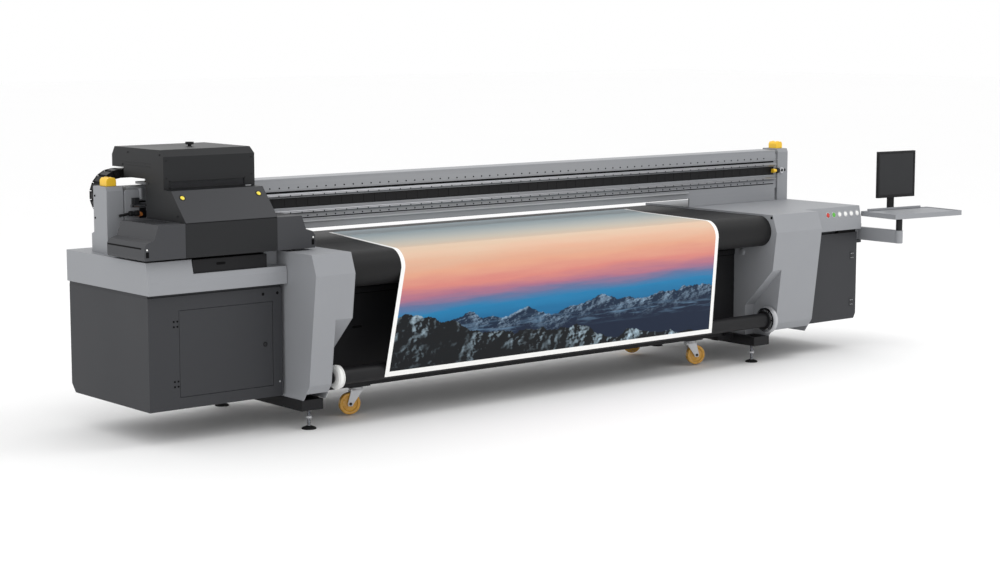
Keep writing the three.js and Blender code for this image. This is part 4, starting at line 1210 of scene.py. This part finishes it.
def add_link(bm, corners, y0, y1):
    """One chain link between two radii or heights: side plates, cross bars and a pin boss on each side."""
    def toward(a, b, t):
        return tuple(p + (q - p) * t for p, q in zip(a, b))

    outer0, outer1, inner1, inner0 = corners
    for low, high in ((y0, y0 + 7), (y1 - 7, y1)):
        add_prism(bm, corners, "y", low, high)
    for a, b, c, d in ((outer0, outer1, inner1, inner0), (inner0, inner1, outer1, outer0)):
        bar = [toward(a, b, 0.14), toward(a, b, 0.86)]
        deep = [toward(d, c, 0.14), toward(d, c, 0.86)]
        outline = [toward(bar[0], deep[0], 0.04), toward(bar[1], deep[1], 0.04),
                   toward(bar[1], deep[1], 0.14),
                   toward(bar[0], deep[0], 0.14)]
        add_prism(bm, outline, "y", y0 + 6, y1 - 6)
    centre = [sum(c[k] for c in corners) / 4 for k in (0, 1)]
    for y, side in ((y0, -1), (y1, 1)):
        add_lathe(bm, [(0, 1.6), (7, 1.6), (9, 0.4), (9, -0.5), (0, -0.5)], (centre[0], y, centre[1]),
                  (0, side, 0), 16)


def chain():
    dress("chain_tray", ALUMINIUM, 0.8)
    x0, x1, y0, y1, z0, z1 = span("chain_loop")
    mid_z = (z0 + z1) / 2
    outer = (z1 - z0) / 2
    centre_x = x0 + outer
    inner = outer - CHAIN_BAND
    count = 9
    gap = math.radians(0.9)

    def polar(radius, a):
        return (centre_x + radius * math.cos(a), mid_z + radius * math.sin(a))

    def links(bm):
        for i in range(count):
            a0 = math.pi / 2 + math.pi * i / count + gap
            a1 = math.pi / 2 + math.pi * (i + 1) / count - gap
            add_link(bm, [polar(outer, a0), polar(outer, a1), polar(inner, a1), polar(inner, a0)], y0, y1)
        tail = 6
        step = (x1 - centre_x) / tail
        for i in range(tail):
            a, b = centre_x + i * step + 1.5, centre_x + (i + 1) * step - 1.5
            add_link(bm, [(a, mid_z + outer), (b, mid_z + outer), (b, mid_z + inner), (a, mid_z + inner)],
                     y0, y1)

    made = piece("chain_links", links, PLASTIC, "chain_loop", 0.8)
    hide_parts("chain_loop")

    def core(bm):
        steps = 24
        arc = [math.pi / 2 + math.pi * i / steps for i in range(steps + 1)]
        low, high = inner + 8, outer - 8
        outline = [(x1 - 4, mid_z + high)] + [polar(high, a) for a in arc]
        outline += [polar(low, a) for a in arc[::-1]]
        outline += [(x1 - 4, mid_z + low)]
        add_prism(bm, outline, "y", y0 + 8, y1 - 8)

    piece("chain_cables", core, RUBBER, "chain_loop")
    lower_run()
    upper_run(x1, mid_z + (inner + outer) / 2, y0, y1)


def lower_run():
    x0, x1, y0, y1, z0, z1 = span("chain_lower_run")
    made = strip("chain_lower_band", band_outline(y0, y1, z0, z1), x0, x1)
    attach(made, "machine")
    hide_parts("chain_lower_run")
    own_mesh(made)


def upper_run(x_start, z, y0, y1):
    """The chain between the loop and the trolley, as one straight band."""
    end = span("trolley")[1] - 120
    x0, x1 = x_start - 30, end - 20
    outline = band_outline(y0, y1, z - CHAIN_BAND / 2, z + CHAIN_BAND / 2)
    made = strip("chain_upper_band", outline, x0, x1)
    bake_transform(made)


def band_outline(y0, y1, z0, z1):
    """The chain's section: plates at the sides and a flat between them."""
    return [(y0, z0), (y0 + 6, z0), (y0 + 6, z0 + 3), (y1 - 6, z0 + 3), (y1 - 6, z0), (y1, z0), (y1, z1),
            (y1 - 6, z1), (y1 - 6, z1 - 3), (y0 + 6, z1 - 3), (y0 + 6, z1), (y0, z1)]


def strip(name, outline, x0, x1):
    """A straight band of chain, on no body yet; lower_run puts its band on the machine."""
    bm = bmesh.new()
    add_prism(bm, outline, "x", x0, x1)
    bmesh.ops.recalc_face_normals(bm, faces=bm.faces)
    mesh = to_mesh(name, bm)
    mesh.materials.append(CHAIN)
    made = bpy.data.objects.new(name, mesh)
    bpy.context.scene.collection.objects.link(made)
    return made


# ---------------------------------------------------------------- monitor, tray and arm
ARM_PIVOT = (2876, 40)
ARM_TOP = 841


def monitor_arm():
    dress("swing_arm", GREY, 2.0, 3)
    dress("tray", GREY, 3.0, 3)
    x, y = ARM_PIVOT

    turned("arm_pivot_cap", [(0, 7), (22, 7), (28, 4), (30, 0), (0, 0)], (x, y, 863), "z", 48, PLASTIC,
           "machine")
    socket = joint_place("tray_swivel")

    turned("tray_post_sleeve", [(19.4, 0.5), (22, 0.5), (22, 74), (20.4, 78), (19.4, 78)],
           (socket[0], socket[1], ARM_TOP), "z", 40, PLASTIC, "arm")
    screen()


def screen():
    """A square monitor: a moulded bezel round a sunk panel, with vents and its bracket behind."""
    hinge = Vector(JOINTS["monitor_tilt"]["pos_m"])
    sideways = -Vector(JOINTS["monitor_tilt"]["axis"])
    back = Vector((-sideways.y, sideways.x, 0))
    turn = Matrix.Translation(hinge) @ Matrix((sideways, back, AXES["z"])).transposed().to_4x4()
    width, height, depth = 354.0, 324.0, 24.0
    low = -127.0
    skin = -4.5

    def local(bm, build):
        """Builds about the hinge's own axes, then moves the result to the hinge."""
        build(bm)
        shift = Matrix.Translation(-at(0, 0, 0))
        bmesh.ops.transform(bm, matrix=turn @ shift, verts=bm.verts)

    def bezel(bm):
        front = skin - depth
        rim = 15
        x0, x1, z0, z1 = -width / 2, width / 2, low, low + height
        add_box(bm, x0, x1, front + 5, skin, z0, z1)
        add_box(bm, x0, x1, front, front + 5, z1 - rim, z1)
        add_box(bm, x0, x1, front, front + 5, z0, z0 + rim + 5)
        add_box(bm, x0, x0 + rim, front, front + 5, z0 + rim + 5, z1 - rim)
        add_box(bm, x1 - rim, x1, front, front + 5, z0 + rim + 5, z1 - rim)

    def panel(bm):
        front = skin - depth + 3
        add_box(bm, -width / 2 + 15, width / 2 - 15, front, front + 2.2, low + 20, low + height - 15)

    def mount(bm):
        add_box(bm, -58, 58, skin - 1, skin + 3, -48, 48)
        add_box(bm, -32, 32, skin + 2.5, 3.2, -34, 34)

    def post_cover(bm):
        for x0, x1, y0, y1 in ((-32.5, 8.5, 3.4, 4.6), (-32.5, 8.5, 30.6, 31.8), (-33.5, -32.3, 3.4, 31.8),
                               (8.3, 9.5, 3.4, 31.8)):
            add_box(bm, x0, x1, y0, y1, -204, -16)

    # The vents are near-black slits of painted shade.
    def vents(bm):
        for i in range(12):
            x = -134 + i * 23
            add_box(bm, x, x + 12, skin - 0.5, skin + 0.8, low + height - 46, low + height - 34)

    for name, build, material, bevel, body in (
            ("monitor_bezel", bezel, PLASTIC, 2.0, "monitor"),
            ("monitor_panel", panel, SCREEN, 0.6, "monitor"),
            ("monitor_mount", mount, PLASTIC, 1.0, "monitor"),
            ("monitor_vents", vents, SHADE_AND_DARK_SCREWS, 0.4, "monitor"),
            ("screen_post_cover", post_cover, PLASTIC, 0.3, "tray")):
        made = piece(name, lambda bm, part=build: local(bm, part), material, body, bevel)
        if name == "monitor_bezel":
            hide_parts("monitor")


# ---------------------------------------------------------------- everything
studio()
base()
pillars()
left_cabinet()
right_cabinet()
desk_buttons()
table()
printed_sheet()
shafts()
beam()
towers()
carriage()
chain()
monitor_arm()
